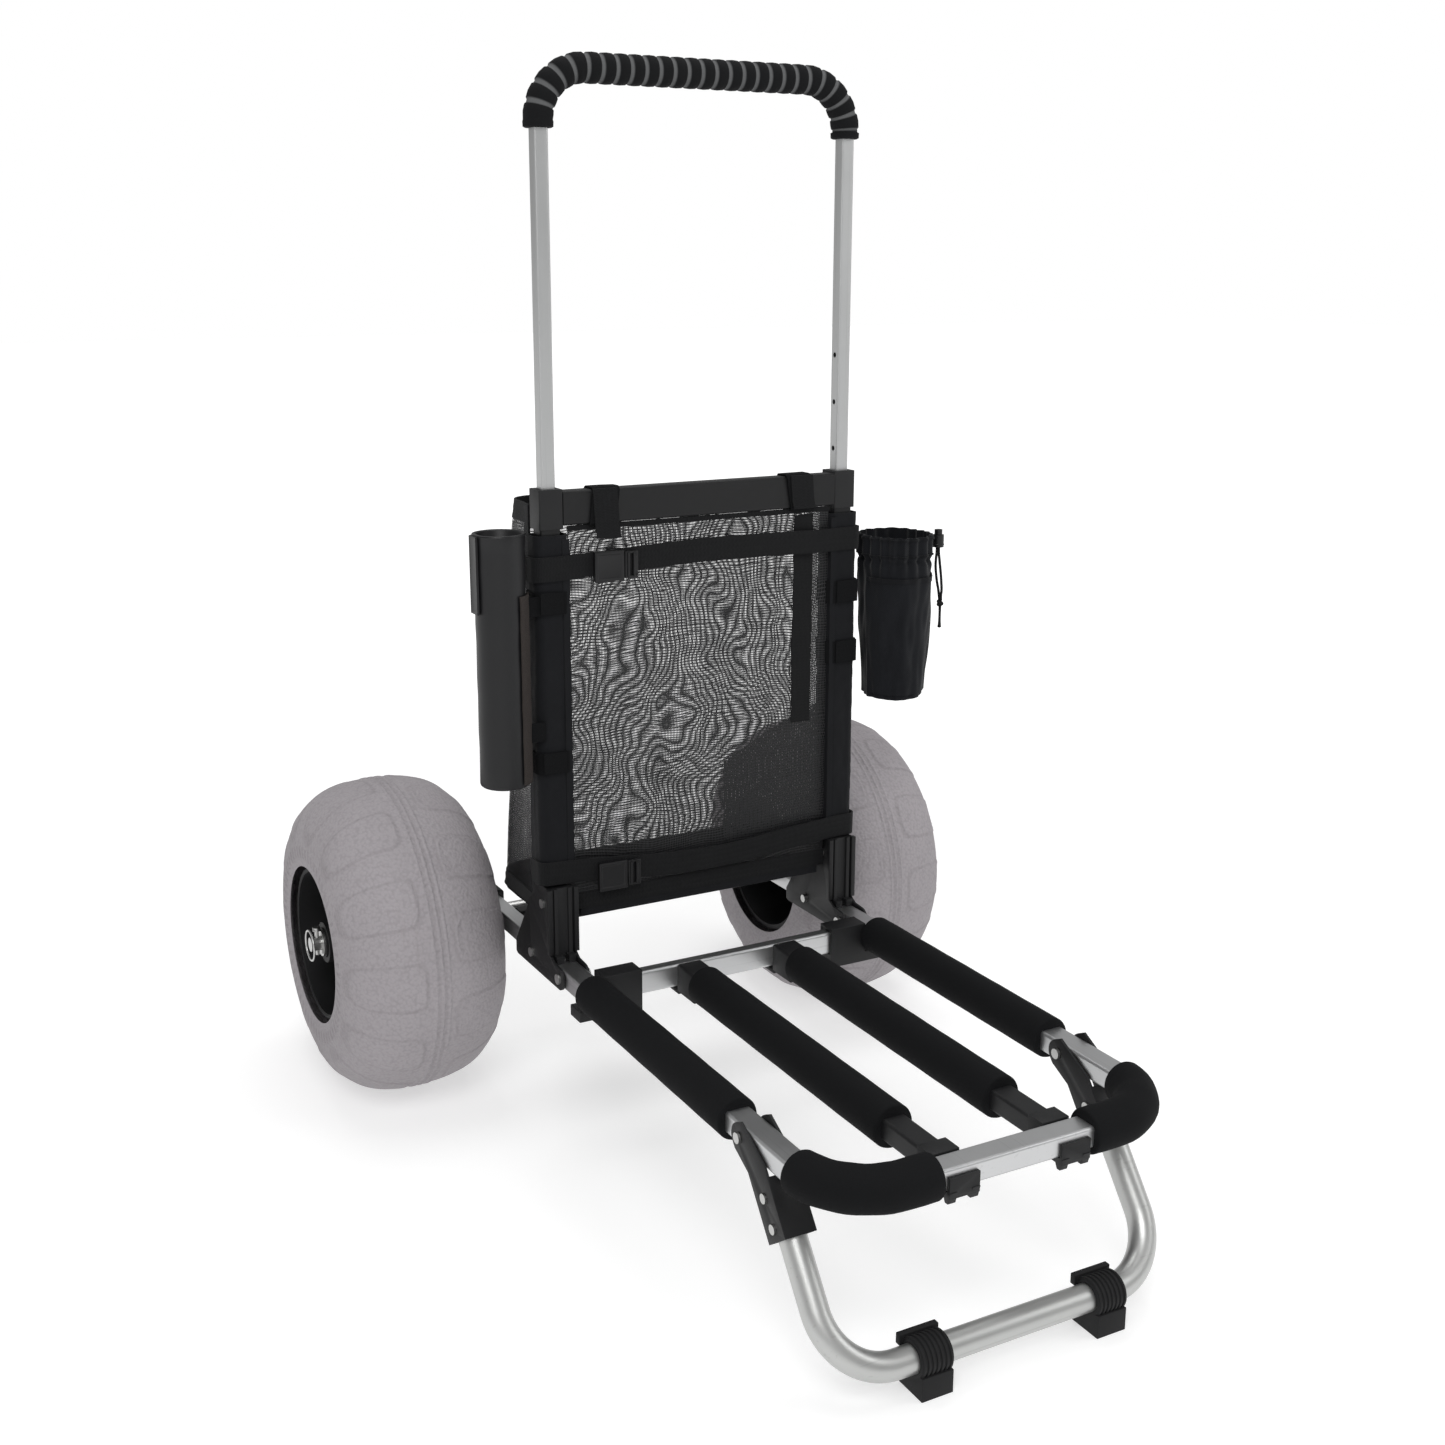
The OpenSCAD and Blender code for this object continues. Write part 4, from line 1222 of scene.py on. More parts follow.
@dataclass
class PostSleeves:
    """Cloth sleeves that hold the bag's front edges to the posts."""

    rod_bands: tuple[tuple[str, float], ...] = (("upper", 588 * MM), ("lower", 420 * MM))

    def build(self) -> None:
        """Makes both sleeves and the left one's bands."""
        for side in (-1, 1):
            word = side_word(side)
            low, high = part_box(f"post_sleeve_{word}")
            sleeve = wrap_form(
                f"sleeve_cloth_{word}", side, low.z + 2 * MM, high.z - 5 * MM, -0.4 * MM, 1.6 * MM, 96,
                0.9 * MM, 4.0 + side,
            )
            sleeve.give(Finish.CLOTH, [f"post_sleeve_{word}"])

            def seam(u: float, v: float, side: int = side, low: Vector = low, high: Vector = high) -> Vector:
                """Puts a point on the sleeve's seam, which dips between its stitches."""
                return Vector((
                    (low.x + high.x) / 2 - side * 14 * MM + (u - 0.5) * 7 * MM,
                    low.y + 0.1 * MM - 0.4 * MM * abs(math.sin(v * 9)),
                    low.z + 5 * MM + (high.z - low.z - 14 * MM) * v,
                ))

            cloth_form(f"sleeve_seam_{word}", 3, 80, 6 * MM, 360 * MM, seam, 1.0 * MM).give(Finish.CLOTH)
        for word, z in self.rod_bands:
            hook_band(f"rod_band_{word}", -1, z, 23 * MM, [])


@dataclass
class CinchStraps:
    """Two straps across the front, each with a side-release buckle."""

    web: float = 25 * MM
    thick: float = 1.5 * MM
    bend: float = 9 * MM

    def build(self) -> None:
        """Makes both straps and buckles."""
        for name, rise, dip in (("upper", 6 * MM, 4 * MM), ("lower", -2 * MM, -12 * MM)):
            self._strap(name, rise, dip)
        for name, drop, replaces in (("upper", 3.5 * MM, ["strap_buckles"]), ("lower", 11 * MM, [])):
            self._buckle(name, middle(f"{name}_strap").z - drop, replaces)

    def _strap(self, name: str, rise: float, dip: float) -> None:
        """Runs a strap across the front and back round both sleeves.

        Args:
            name: Which strap.
            rise: How much higher its right end is than its left.
            dip: How far its middle stands above its ends.
        """
        low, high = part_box(f"{name}_strap")
        left, right, front = low.x, high.x, low.y
        z_mid = (low.z + high.z) / 2
        back = high.y - front
        bend = self.bend
        across = right - left - 2 * bend
        arc = bend * math.pi / 2
        side = back - bend
        total = 2 * (side + arc) + across

        def place(u: float, v: float) -> Vector:
            """Puts a point on the strap, by share of its length and width."""
            run = u * total
            mirrored = run > total / 2
            part = total - run if mirrored else run
            if part < side:
                x, y = left, front + back - part
            elif part < side + arc:
                turn = (part - side) / bend
                x = left + bend * (1 - math.cos(turn))
                y = front + bend * (1 - math.sin(turn))
            else:
                x, y = left + bend + (part - side - arc), front
            if mirrored:
                x = left + right - x
            share = (x - left) / (right - left)
            z = z_mid + rise * (share - 0.5) + dip * math.sin(math.pi * share) ** 2
            z += 0.7 * MM * ripple((x, 0, 0), 26.0, 2.0)
            sag = 0.8 * MM * math.sin(math.pi * share) * ripple((x, v, 0), 30.0, 6.0)
            twist = (v - 0.5) * 0.8 * MM * ripple((x, 5, 0), 18.0, 1.0)
            return Vector((x, y + sag + twist + 0.8 * MM, z + (v - 0.5) * self.web))

        strap = cloth_form(f"cinch_strap_{name}", 260, 6, total, self.web, place, self.thick)
        strap.give(Finish.WEBBING, [f"{name}_strap"])

    def _buckle(self, name: str, z: float, replaces: Sequence[str]) -> None:
        """Builds a side-release buckle: housing, prong half and its keeper bar."""
        low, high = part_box("strap_buckles")
        left, front, back = low.x, low.y, high.y
        housing = Form.block(
            f"buckle_housing_{name}", (left, front, z - 15.5 * MM), (left + 33 * MM, back, z + 15.5 * MM)
        )
        housing.edit()
        housing.pick(lambda co, n: n.y < -0.9)
        housing.inset(3.2 * MM)
        housing.inset(0.6 * MM, -0.9 * MM)
        housing.done()
        housing.soften(0.8 * MM, 3)
        housing.give(Finish.BUCKLE, replaces, 40)
        prong = Form.block(
            f"buckle_prong_{name}", (left + 34.2 * MM, front + 0.6 * MM, z - 14 * MM),
            (left + 49 * MM, back, z + 14 * MM),
        )
        prong.edit()
        prong.pick(lambda co, n: n.y < -0.9)
        prong.inset(2.6 * MM)
        prong.draw_out((0, 2.2 * MM, 0))
        prong.pick(lambda co, n: n.x < -0.9)
        prong.inset(3.4 * MM)
        prong.draw_out((-1.5 * MM, 0, 0))
        prong.done()
        prong.soften(0.7 * MM)
        prong.give(Finish.BUCKLE, angle=40)
        for number, shift in enumerate((38.0, 44.5)):
            at = (left + shift * MM, front + 0.4 * MM, z - 12.5 * MM)
            bar = Sweep.start(f"buckle_bar_{name}_{number}", at, (0, 0, 1), 1.5 * MM, 12)
            bar.forward(12.5 * MM, 1.3 * MM).forward(12.5 * MM, 1.5 * MM).close()
            bar.give(Finish.BUCKLE)


@dataclass
class HangerLoops:
    """Two webbing loops that hang the bag from the top bar."""

    width: float = 30 * MM
    thick: float = 1.5 * MM
    bend: float = 4 * MM

    def build(self) -> None:
        """Makes both loops, the left one with a long tail."""
        low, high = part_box("top_bar")
        _, y_mid, z_mid = (low + high) / 2
        deep, tall = high.y - low.y + 3.2 * MM, high.z - low.z + 3.2 * MM
        loops_low, loops_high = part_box("bag_loops")
        for word, x0, lean, length, replaces in (
            ("left", loops_low.x + self.width / 2, 4 * MM, 51 * MM, ["bag_loops"]),
            ("right", loops_high.x - self.width / 2, -6 * MM, 36 * MM, []),
        ):

            def place(u: float, v: float, x0: float = x0, lean: float = lean) -> Vector:
                """Puts a point on the loop, which goes round the bar."""
                y, z, ny, nz = rounded_loop(u, deep, tall, self.bend)
                x = x0 + (v - 0.5) * self.width + lean * z / tall
                bump = 0.5 * MM * ripple((x, y, z), 60.0, 3.0 + x0)
                return Vector((x, y_mid + y + ny * bump, z_mid + z + nz * bump))

            around = loop_length(deep, tall, self.bend)
            loop = cloth_form(f"hanger_loop_{word}", 90, 10, around, self.width, place, self.thick, True)
            loop.give(Finish.HOOK_TAPE, replaces)

            def hang(u: float, v: float, x0: float = x0, length: float = length) -> Vector:
                """Puts a point on the tail, which hangs from over the bar down its front."""
                z = high.z + 1 * MM - length * u
                curl = 2.2 * MM * smooth_step(u, 0.65, 1.0) ** 2
                x = x0 + (v - 0.5) * (self.width - 3 * MM) + 3 * MM * u
                return Vector((x, y_mid - deep / 2 - 1.6 * MM - curl, z))

            tail = cloth_form(f"hanger_tail_{word}", 26, 8, length, self.width, hang, self.thick)
            tail.give(Finish.WEBBING)


# ---------------------------------------------------------------- rear bag


@dataclass
class RearBag:
    """Net bag behind the frame with bound edges, a cloth bottom and a dense net pocket."""

    tape: float = 24 * MM
    net_t: float = 0.3 * MM
    corner: float = 30 * MM
    half_front: float = 156 * MM
    half_belly: float = 150 * MM
    side_back: float = 30 * MM
    rim: float = 14 * MM

    def build(self) -> None:
        """Makes the nets, then the cloth and the tapes."""
        self.low, self.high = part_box("mesh_bag")
        self.front_y = self.low.y + 1.5 * MM
        self.front_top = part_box("top_bar")[0].z - 0.5 * MM
        self.side_y = self.low.y + self.side_back
        shell = cloth_form("bag_net_shell", 200, 90, 620 * MM, 440 * MM, self._path, self.net_t)
        shell.give(Finish.NET, ["mesh_bag"])
        self._front()
        self._bottom()
        self._tapes()

    def _path(self, share: float, height: float) -> Vector:
        """A point of the shell: left side, back and right side, by share of the way and of the height."""
        half = self.high.x - 2 * MM
        floor = self.low.z + 6 * MM
        z = floor + (self.high.z - 3 * MM - floor) * height
        lean = smooth_step(height, 0.0, 1.0)
        deep = self.high.y - self.side_y - 3 * MM
        deep -= (42 * MM + 8 * MM * smooth_step(height, 0.9, 1.0)) * (0.35 * lean + 0.65 * height)
        r = self.corner
        side, arc, back = deep - r, r * math.pi / 2, 2 * half - 2 * r
        total = 2 * (side + arc) + back
        run = share * total
        mirrored = run > total / 2
        part = total - run if mirrored else run
        if part < side:
            x, y, nx, ny = -half, self.side_y + part, -1.0, 0.0
        elif part < side + arc:
            turn = (part - side) / r
            nx, ny = -math.cos(turn), math.sin(turn)
            x, y = -half + r + r * nx, self.side_y + side + r * ny
        else:
            x, y, nx, ny = -half + r + (part - side - arc), self.side_y + deep, 0.0, 1.0
        if mirrored:
            x, nx = -x, -nx
        round_top = smooth_step(height, 0.94, 1.0)
        fold = 5 * MM * ripple((x * 1.4, y * 2.0, z * 0.5), 13.0, 7.0)
        fold += 2 * MM * ripple((x, y, z * 0.6), 34.0, 2.0)
        free = math.sin(math.pi * min(1.0, height * 1.02)) ** 0.5 if 0 < height < 0.98 else 0.0
        inward = 5 * MM * free + 6 * MM * round_top * 0.5
        shift = fold * free - inward
        if abs(nx) > 0.5 and y < self.side_y + 30 * MM:
            shift *= smooth_step(y, self.side_y, self.side_y + 30 * MM)
        return Vector((x + nx * shift, y + ny * shift, z))

    def _front_place(self, u: float, v: float, out: float = 0.0) -> Vector:
        """A point of the front panel, which bellies a little to the rear."""
        x = -self.half_front + 2 * self.half_front * u
        low = self.low.z + 18 * MM
        z = low + (self.front_top - low) * v
        belly = math.sin(math.pi * u) ** 0.7 * math.sin(math.pi * min(1.0, max(0.0, v))) ** 0.7
        y = self.front_y + 4 * MM * belly
        y += 2.2 * MM * belly * ripple((x + z * 0.5, 0.0, z), 15.0, 11.0)
        y += 0.8 * MM * belly * ripple((x, 0.0, z * 0.4), 48.0, 4.0)
        return Vector((x, y - out, z))

    def _front(self) -> None:
        """Stretches the front net, with the pocket of dense net behind its lower right corner."""
        front = cloth_form(
            "bag_net_front", 110, 140, 2 * self.half_front, 390 * MM, self._front_place, self.net_t
        )
        front.give(Finish.NET)

        def patch(u: float, v: float) -> Vector:
            """Puts a point on the pocket, whose top edge slopes."""
            out = -6 * MM - 6 * MM * math.sin(math.pi * u)
            return self._front_place(0.6 + 0.4 * u, 0.02 + (0.30 + 0.14 * u) * v, out)

        pocket = cloth_form("bag_net_pocket", 60, 80, 120 * MM, 150 * MM, patch, self.net_t)
        pocket.give(Finish.DENSE_NET)

    def _bottom(self) -> None:
        """Sews the cloth bottom, which sags a little between its edges."""
        half = self.high.x - 3 * MM

        def place(u: float, v: float) -> Vector:
            """Puts a point on the bottom panel, which turns up at the front and the back."""
            x = -half + 2 * half * u
            rim = self.rim
            corner = max(0.0, abs(x) - (half - self.corner))
            deep = self.high.y - 4 * MM - self.low.y
            deep -= self.corner - math.sqrt(max(self.corner**2 - corner**2, 0.0))
            run = v * (deep + 2 * rim)
            floor = self.low.z + 3 * MM
            inner = abs(x) < self.half_belly
            front_y = self.low.y + 1.2 * MM
            front = front_y if inner else self.side_y
            if run < rim:
                y, z = front, floor + rim - run
            elif run < rim + deep:
                y, z = front + (run - rim) * (front_y + deep - front) / deep, floor
            else:
                y, z = front_y + deep, floor + (run - rim - deep)
            dent = 2 * MM * ripple((x, y, z), 20.0, 9.0)
            return Vector((x, y, z + abs(dent) * 0.6))

        bottom = cloth_form("bag_bottom", 120, 90, 370 * MM, 200 * MM, place, 1.4 * MM)
        bottom.give(Finish.CLOTH)

    def _tapes(self) -> None:
        """Binds the edges with tape and adds the upright web."""
        for name, u0, u1, v0, v1, columns, rows, size, thick in (
            ("bag_front_hem", 0.0, 1.0, -0.015, 0.03, 90, 6, (300 * MM, 20 * MM), 1.2 * MM),
            ("bag_front_top_tape", 0.0, 1.0, 0.987, 1.0, 90, 6, (300 * MM, 20 * MM), 1.2 * MM),
            ("bag_upright_web", 0.86, 0.935, 0.41, 0.982, 8, 90, (self.tape, 390 * MM), 1.3 * MM),
        ):

            def front(
                u: float, v: float, u0: float = u0, u1: float = u1, v0: float = v0, v1: float = v1
            ) -> Vector:
                """Puts a point on a tape that is sewn on the front net."""
                return self._front_place(u0 + (u1 - u0) * u, v0 + (v1 - v0) * v, 1.0 * MM)

            cloth_form(name, columns, rows, *size, front, thick).give(Finish.WEBBING)
        for name, v0, v1 in (("bag_top_binding", 0.955, 1.0), ("bag_low_binding", 0.0, 0.035)):

            def round_bag(u: float, v: float, v0: float = v0, v1: float = v1) -> Vector:
                """Puts a point on a binding that runs round the shell."""
                return self._path(u, v0 + (v1 - v0) * v) + Vector((0, 0, 0.6 * MM))

            cloth_form(name, 160, 5, 620 * MM, 20 * MM, round_bag, 2.2 * MM).give(Finish.WEBBING)
        for word, start, way in (("left", 0.0, 0.025), ("right", 1.0, -0.025)):

            def up_edge(u: float, v: float, start: float = start, way: float = way) -> Vector:
                """Puts a point on a binding that runs up the shell's front edge."""
                return self._path(start + way * u, v)

            edge = cloth_form(f"bag_side_binding_{word}", 5, 80, 20 * MM, 430 * MM, up_edge, 2.4 * MM)
            edge.give(Finish.CLOTH)


# ---------------------------------------------------------------- rod holder


@dataclass
class RodHolder:
    """Open plastic tube on the left post, with a hooked strip and a hook-and-loop backing."""

    wall: float = 3 * MM
    strip_w: float = 2.5 * MM
    steps: int = 14

    def build(self) -> None:
        """Makes the tube, its strip and its backing."""
        self.low, self.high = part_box("rod_holder")
        self.radius = (self.high.y - self.low.y) / 2
        self.x, self.y = self.high.x - self.radius, (self.low.y + self.high.y) / 2
        self._tube()
        self._strip()
        self._backing()

    def _tube(self) -> None:
        """Draws the tube up to its rolled rim and back down inside."""
        low, high, radius = self.low, self.high, self.radius
        tube = Sweep.start("rod_tube", (self.x, self.y, low.z), (0, 0, 1), radius - 2 * MM, 64)
        tube.forward(1.2 * MM, radius - 0.6 * MM).forward(2 * MM, radius)
        step_long = (high.z - low.z - 3.2 * MM) / self.steps
        for step in range(self.steps - 1):
            tube.forward(step_long, radius - 0.25 * MM * (1 + math.sin(step * 2.1)))
        for distance, grow in (
            (step_long - 3 * MM, 0.4 * MM), (1.6 * MM, 1.4 * MM), (1.4 * MM, 0.8 * MM), (0, -1.6 * MM),
            (-1.6 * MM, -self.wall), (low.z - high.z + 9 * MM, -self.wall),
        ):
            tube.forward(distance, radius + grow)
        tube.close().give(Finish.ROD_TUBE, ["rod_holder"], 50)

    def _strip(self) -> None:
        """Shapes the hooked strip and the rib that joins it to the tube."""
        left, top, y = self.low.x, self.high.z, self.y
        strip = Form.block(
            "rod_hook_strip", (left, y - 9 * MM, top - 80 * MM),
            (left + self.strip_w, y + 9 * MM, top - 1.5 * MM),
        )
        strip.edit()
        strip.pick(lambda co, n: n.z > 0.9)
        strip.inset(0.2 * MM)
        strip.draw_out((4.0 * MM, 0, 1.2 * MM))
        strip.pick(lambda co, n: n.x < -0.9)
        strip.inset(2.2 * MM, -0.6 * MM)
        strip.done()
        strip.soften(0.7 * MM, 3)
        strip.give(Finish.ROD_TUBE, angle=40)
        rib = Form.block(
            "rod_strip_rib", (left + self.strip_w - 0.5 * MM, y - 4 * MM, top - 78 * MM),
            (self.x - self.radius + 2 * MM, y + 4 * MM, top - 60 * MM),
        )
        rib.soften(0.8 * MM)
        rib.give(Finish.ROD_TUBE, angle=40)

    def _backing(self) -> None:
        """Hangs the backing strip between the tube and the sleeve."""
        low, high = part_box("rod_holder_straps")
        tall = high.z - low.z

        def strip(u: float, v: float) -> Vector:
            """Puts a point on the strip, which wraps the tube's front on the post's side."""
            turn = math.radians(-66 + 62 * u)
            reach = self.radius + 1.8 * MM + 0.5 * MM * ripple((u, 0, v * 4), 3.0, 1.0)
            x, y = self.x + reach * math.cos(turn), self.y + reach * math.sin(turn)
            return Vector((x, y, low.z + tall * v))

        backing = cloth_form("rod_backing", 14, 90, 28 * MM, 200 * MM, strip, 1.6 * MM)
        backing.give(Finish.HOOK_BACKING, ["rod_holder_straps"])
        wide = 20 * MM
        for number, share in enumerate((0.26, 0.93)):

            def bridge(u: float, v: float, z: float = low.z + tall * share) -> Vector:
                """Puts a point on a short bridge from the tube to the sleeve."""
                x = self.high.x - 6 * MM + wide * u
                return Vector((x, low.y + 3 * MM - 1.5 * MM * u, z + (v - 0.5) * wide))

            cloth_form(f"rod_bridge_{number}", 10, 6, wide, wide, bridge, 1.4 * MM).give(Finish.HOOK_TAPE)


# ---------------------------------------------------------------- handle and platform


@dataclass
class HandleLoop:
    """Ribbed foam grip over the bent top of the handle."""

    ridges_on_bend: int = 5
    ridges_on_top: int = 16
    groove_w: float = 2.6 * MM
    groove_deep: float = 1.4 * MM
    lip: float = 1.3 * MM
    crown: float = 0.4 * MM
    bend_r: float = 50 * MM

    def build(self) -> None:
        """Draws the grip from the left cuff over the top to the right one."""
        low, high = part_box("handle_grip")
        y = (low.y + high.y) / 2
        ridge = (high.y - low.y) / 2
        groove = ridge - self.groove_deep
        top = high.z - ridge
        x_out, bend_r = (high.x - low.x) / 2 - ridge, self.bend_r
        x_in, z_in = x_out - bend_r, top - bend_r
        cuff = z_in - low.z + 1 * MM
        grip = Sweep.start("ribbed_grip", (-x_out, y, low.z - 3 * MM), (0, 0, 1), ridge - 1.5 * MM, 36)
        grip.forward(1 * MM, ridge + 0.3 * MM).forward(cuff, ridge + 0.5 * MM).forward(1 * MM, ridge)
        self._bend(grip, (-x_in, y, z_in), ridge)
        for _ in range(self.ridges_on_top):
            for distance, radius in self._ridge(2 * x_in / self.ridges_on_top, ridge):
                grip.forward(distance, radius)
        self._bend(grip, (x_in, y, z_in), ridge)
        grip.forward(1 * MM, ridge + 0.5 * MM).forward(cuff, ridge + 0.3 * MM)
        grip.forward(1 * MM, ridge - 1.5 * MM).close()

        def depth(co: Vector) -> float:
            """One on the floor of a groove, nought on a ridge."""
            if abs(co.x) <= x_in:
                out = math.hypot(co.y - y, co.z - top)
            elif co.z > z_in:
                out = math.hypot(math.hypot(abs(co.x) - x_in, co.z - z_in) - bend_r, co.y - y)
            else:
                return 0.0
            return 1.0 if out < groove + 0.5 * MM else 0.0

        grip.mark("groove", depth)
        grip.give(Finish.GRIP, ["handle_grip"], 50, "handle")

    def _ridge(self, pitch: float, ridge: float) -> tuple[tuple[float, float], ...]:
        """One crowned ridge and its groove, as distances and the radius after each."""
        groove, half = ridge - self.groove_deep, (pitch - 2 * self.lip - self.groove_w) / 2
        return (
            (self.lip, ridge), (half, ridge + self.crown), (half, ridge), (self.lip, groove),
            (self.groove_w, groove),
        )

    def _bend(self, grip: Sweep, pivot: Sequence[float], ridge: float) -> None:
        """Draws one bend's ridges."""
        for _ in range(self.ridges_on_bend):
            for distance, radius in self._ridge(math.pi / 2 / self.ridges_on_bend * self.bend_r, ridge):
                grip.bend(distance / self.bend_r, pivot, (0, 1, 0), 1, radius)


@dataclass
class PlatformPadding:
    """Foam sleeves on the platform's rails, slats and front corners."""

    sides: int = 48
    lip: float = 2.2 * MM
    edge: tuple[float, float] = (0.5 * MM, 1.7 * MM)
    edge_drop: float = 0.9 * MM
    rail_r: float = 12.5 * MM
    bend_r: float = 65 * MM
    waves: int = 16
    corner_steps: int = 14

    def build(self) -> None:
        """Makes all six sleeves."""
        for side in (-1, 1):
            for kind in ("rail", "slat"):
                self._straight(f"{kind}_foam_{side_word(side)}")
            self._corner(f"corner_foam_{side_word(side)}", side)

    @staticmethod
    def _give(sweep: Sweep, node: str) -> None:
        """Closes, dresses and mounts a sleeve."""
        sweep.close().give(Finish.FOAM, [node], body="platform")

    def _straight(self, node: str) -> None:
        """Draws a straight sleeve with soft ends and slight waves."""
        low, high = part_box(node)
        x, _, z = (low + high) / 2
        radius = (high.x - low.x) / 2
        first, second = self.edge
        sleeve = Sweep.start(f"{node}_sleeve", (x, low.y, z), (0, 1, 0), radius - self.lip, self.sides)
        sleeve.forward(first, radius - self.edge_drop).forward(second, radius - 0.2 * MM)
        for step in range(self.waves):
            wave = 0.12 * MM * math.sin(step * 1.9 + x * 40)
            sleeve.forward((high.y - low.y - 2 * self.lip) / self.waves, radius - 0.2 * MM + wave)
        sleeve.forward(second, radius - self.edge_drop).forward(first, radius - self.lip)
        self._give(sleeve, node)

    def _corner(self, node: str, side: int) -> None:
        """Draws a sleeve round one front corner."""
        low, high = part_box(node)
        rail_low, rail_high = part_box("platform_rail")
        radius, z = (high.z - low.z) / 2, (low.z + high.z) / 2
        outer, front = rail_high.x - self.rail_r, rail_low.y + self.rail_r
        start = low.x if side > 0 else -high.x
        pivot = (side * (outer - self.bend_r), front + self.bend_r, z)
        first, second = self.edge
        at = (side * start, front, z)
        sleeve = Sweep.start(f"{node}_sleeve", at, (side, 0, 0), radius - self.lip, self.sides)
        sleeve.forward(first, radius - self.edge_drop).forward(second, radius - 0.1 * MM)
        half = (outer - self.bend_r - start - self.lip) / 2
        sleeve.forward(half, radius + 0.2 * MM).forward(half, radius)
        turn = (math.radians(84) - self.lip / self.bend_r) / self.corner_steps
        turns = [(turn, radius + 0.25 * MM * math.sin(step * 1.3)) for step in range(self.corner_steps)]
        turns += [(second / self.bend_r, radius - self.edge_drop), (first / self.bend_r, radius - self.lip)]
        for turn, end_radius in turns:
            sleeve.bend(side * turn, pivot, (0, 0, 1), 1, end_radius)
        self._give(sleeve, node)


# ---------------------------------------------------------------- wheels


@dataclass
class BalloonWheel:
    """One balloon tyre and the trim on its rim."""

    side: int
    steps: int = 480
    outer: int = 110
    inner: int = 24
    wall: float = 5 * MM
    widest_r: float = 104 * MM
    bead_r: float = 92 * MM
    bead_angle: float = math.radians(100)
    square: tuple[float, float] = (0.8, 0.9)
    tread: float = 0.9 * MM

    def build(self) -> None:
        """Makes the tyre and the rim's rounded outer lip."""
        self.word = side_word(self.side)
        low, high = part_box(f"tyre_{self.word}")
        self.centre = (low + high) / 2
        self.radius, self.half = (high.z - low.z) / 2, (high.x - low.x) / 2
        self.rise = self.radius - self.widest_r
        self._tyre()
        low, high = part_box(f"rim_{self.word}")
        x = (high.x if self.side > 0 else low.x) - self.side * 1.5 * MM
        at = (x, self.centre.y, self.centre.z)
        lip = ring_form(f"rim_lip_{self.word}", at, (0, math.pi / 2, 0), 84.5 * MM, 2.6 * MM)
        lip.give(Finish.RIM, body=f"{self.word}_wheel")

    def _outline(self, share: float) -> tuple[float, float]:
        """The tyre's outline by share of the way round: distance along the axle, and from it."""
        way = 2 * share - 1
        angle = math.copysign(self.bead_angle * (0.45 * abs(way) + 0.55 * abs(way) ** 3) ** 1.25, way)
        c, s = math.cos(angle), math.sin(angle)
        x_power, r_power = self.square
        r = self.widest_r + self.rise * math.copysign(abs(c) ** r_power, c)
        return self.half * math.copysign(abs(s) ** x_power, s), r

    def _tread(self, x: float, r: float, turn: float) -> float:
        """How far the tread stands out at a point: bands on the crown, the pads and their outlines."""
        out = self.side * x
        pitch = 2 * math.pi * self.radius / PADS
        phase = (turn * self.radius + (pitch / 2 if out > 0 else 0.0)) % pitch - pitch / 2
        long_way = abs(abs(x) - PAD_START - PAD_LONG) - PAD_LONG
        wide_way = abs(phase) - PAD_WIDE
        merge = max(PAD_CORNER - abs(long_way - wide_way), 0.0) / PAD_CORNER
        edge = max(long_way, wide_way) + merge ** 3 * PAD_CORNER / 6
        crown = smooth_step(r, *CROWN)
        height = (1 - smooth_step(abs(edge), 0.8 * MM, 2.8 * MM)) * crown
        height += 0.35 * (1 - smooth_step(edge, -2 * MM, 0.0)) * crown
        for line in (0.0, OUTER_BAND):
            height += 1 - smooth_step(abs(abs(x) - line), 0.6 * MM, 2.2 * MM)
        if out > KNURL_SIDE * self.half and math.sin(KNURLS * turn) > KNURL_GAP:
            height += smooth_step(r, *KNURL_START) * (1 - smooth_step(r, *KNURL_END))
        return min(height, 1.0) * self.tread

    def _tyre(self) -> None:
        """Turns the outline round the axle and raises the tread."""
        deselect()
        bpy.ops.mesh.primitive_circle_add(vertices=self.outer + self.inner, radius=1.0, fill_type="NOTHING")
        tyre = Form(f"balloon_tyre_{self.word}")
        for number, point in enumerate(tyre.obj.data.vertices):
            if number < self.outer:
                x, r = self._outline(number / (self.outer - 1))
            else:
                x, r = self._outline(1 - (number - self.outer) / (self.inner - 1))
                x, r = x * (1 - self.wall / self.half), r - self.wall * math.copysign(1.0, r - 100 * MM)
                r = max(r, self.bead_r)
            point.co = self.centre + Vector((x, 0, r))
        tyre.edit()
        bpy.ops.mesh.select_all(action="SELECT")
        bpy.ops.mesh.spin(steps=self.steps, angle=2 * math.pi, center=self.centre, axis=(1, 0, 0))
        tyre.done()
        tyre.clean()

        def raise_tread(co: Vector) -> Vector:
            """Raises a point of the skin, and leaves the inner wall."""
            out = co - self.centre
            r = math.hypot(out.y, out.z)
            x_power, r_power = self.square
            across = (abs(out.x) / self.half) ** (1 / x_power)
            up = (abs(r - self.widest_r) / self.rise) ** (1 / r_power)
            if math.hypot(across, up) < 0.985:
                return co
            lean = Vector((out.x / self.half**2, (r - self.widest_r) / self.rise**2)).normalized()
            height = self._tread(out.x, r, math.atan2(out.y, out.z)) - self.tread
            return co + Vector((lean.x, lean.y * out.y / r, lean.y * out.z / r)) * height

        tyre.place_points(raise_tread)
        tyre.give(Finish.TYRE, [f"tyre_{self.word}"], body=f"{self.word}_wheel")


# ---------------------------------------------------------------- hard parts from the frame


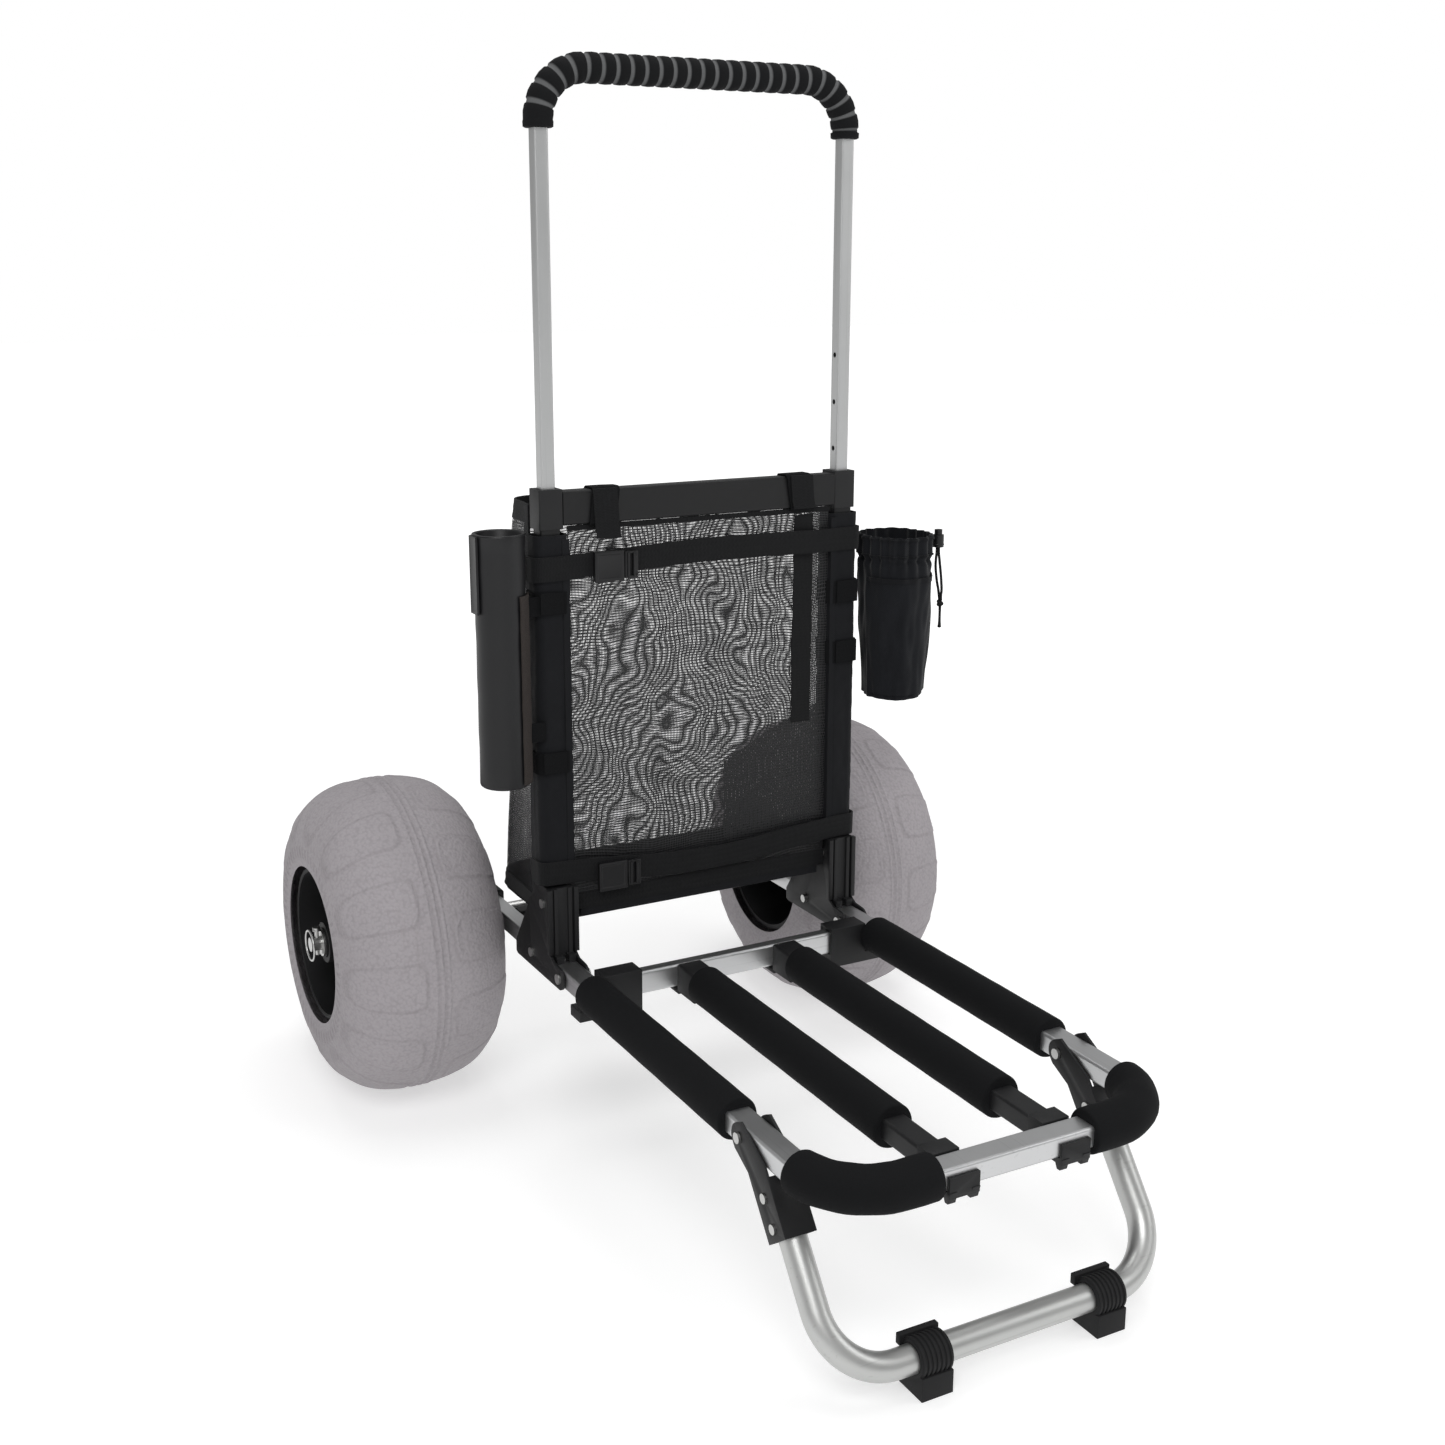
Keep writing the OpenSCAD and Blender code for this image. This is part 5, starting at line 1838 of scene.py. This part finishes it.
@dataclass
class FrameDressing:
    """Finishes on the CAD nodes, rounded copies of the moulded ones, and moulded crossbar sockets."""

    def build(self) -> None:
        """Dresses every node that keeps its own shape."""
        for width, body, *nodes in (
            (0.6, "back_frame", "side_bracket_left", "side_bracket_right"),
            (0.8, "back_frame", "collar_left", "collar_right", "axle_blocks"),
            (0.8, "platform", "slat_sockets"),
            (0.5, "platform", "slat_clips"),
            (0.6, "front_leg", "leg_brackets", "leg_feet"),
        ):
            for node in nodes:
                finish = Finish.FOOT if node == "leg_feet" else Finish.NYLON
                softened(node, body, finish, width * MM)
        self._crossbar_sockets()
        plain = {
            Finish.BLACK_FRAME: ("post_left", "post_right", "top_bar", "rear_cross_tube"),
            Finish.UPRIGHT_TUBE: ("handle_tube",),
            Finish.RAIL_TUBE: ("arm_left", "arm_right", "platform_rail"),
            Finish.CROSS_TUBE: ("rear_crossbar",),
            Finish.LEG_TUBE: ("leg_tube",),
            Finish.DARK_TUBE: ("slat_tubes",),
            Finish.RIM: ("rim_left", "rim_right", "hub_bush_left", "hub_bush_right"),
            Finish.NYLON: ("handle_plugs",),
            Finish.BUCKLE: ("cord_lock", "cord_lock_button"),
            Finish.PLATED: (
                "axle", "axle_washers", "linchpins", "frame_screws", "hinge_bolts", "lock_peg_left",
                "lock_peg_right", "leg_pivot_bolts", "leg_rivets",
            ),
        }
        for finish, nodes in plain.items():
            for node in nodes:
                self._dress(node, finish)

    @staticmethod
    def _crossbar_sockets() -> None:
        """Moulds the sockets that hold the rear crossbar: a box beside each rail and a saddle under it."""
        low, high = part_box("crossbar_sockets")
        rail_low, rail_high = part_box("platform_rail")
        rail_in = rail_high.x - 25 * MM
        for side, replaces in ((-1, ["crossbar_sockets"]), (1, [])):
            ends = sorted((side * (rail_in - 0.6 * MM), side * (rail_in - 45 * MM)))
            box = Form.block(
                f"crossbar_socket_{side_word(side)}", (ends[0], low.y, low.z + 8 * MM),
                (ends[1], high.y, high.z),
            )
            box.edit()
            box.pick(lambda co, n: n.z < -0.9)
            box.draw_out((0, 0, low.z - rail_low.z + 4 * MM))
            box.pick(lambda co, n, s=side: n.x * s > 0.9 and co.z < rail_low.z)
            box.draw_out((side * (high.x - rail_in - 1 * MM), 0, 0))
            box.pick(lambda co, n, s=side: n.x * s < -0.9 and co.z > rail_low.z)
            box.inset(2.4 * MM)
            box.draw_out((side * 1.2 * MM, 0, 0))
            box.done()
            box.clean()
            box.soften(0.9 * MM, 3)
            box.give(Finish.NYLON, replaces, 40, "platform")

    @staticmethod
    def _dress(node: str, finish: Finish) -> None:
        """Gives a CAD node its finish."""
        data = bpy.data.objects[node].data
        if not data.materials:
            data.materials.append(None)
        for index in range(len(data.materials)):
            data.materials[index] = finish_of(finish)


# ---------------------------------------------------------------- the whole cart


def main() -> None:
    """Builds the cart's looks around its frame, sub-assembly by sub-assembly."""
    logging.basicConfig(level=logging.INFO, format="%(message)s")
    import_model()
    Studio(Vector((-0.8592, -1.5157, 0.9261))).build()
    for assembly in (
        DrawstringPouch(), PostSleeves(), CinchStraps(), HangerLoops(), RearBag(), RodHolder(),
        HandleLoop(), PlatformPadding(), BalloonWheel(-1), BalloonWheel(1), FrameDressing(),
    ):
        log.info("building %s", type(assembly).__name__)
        assembly.build()


if __name__ == "__main__":
    main()
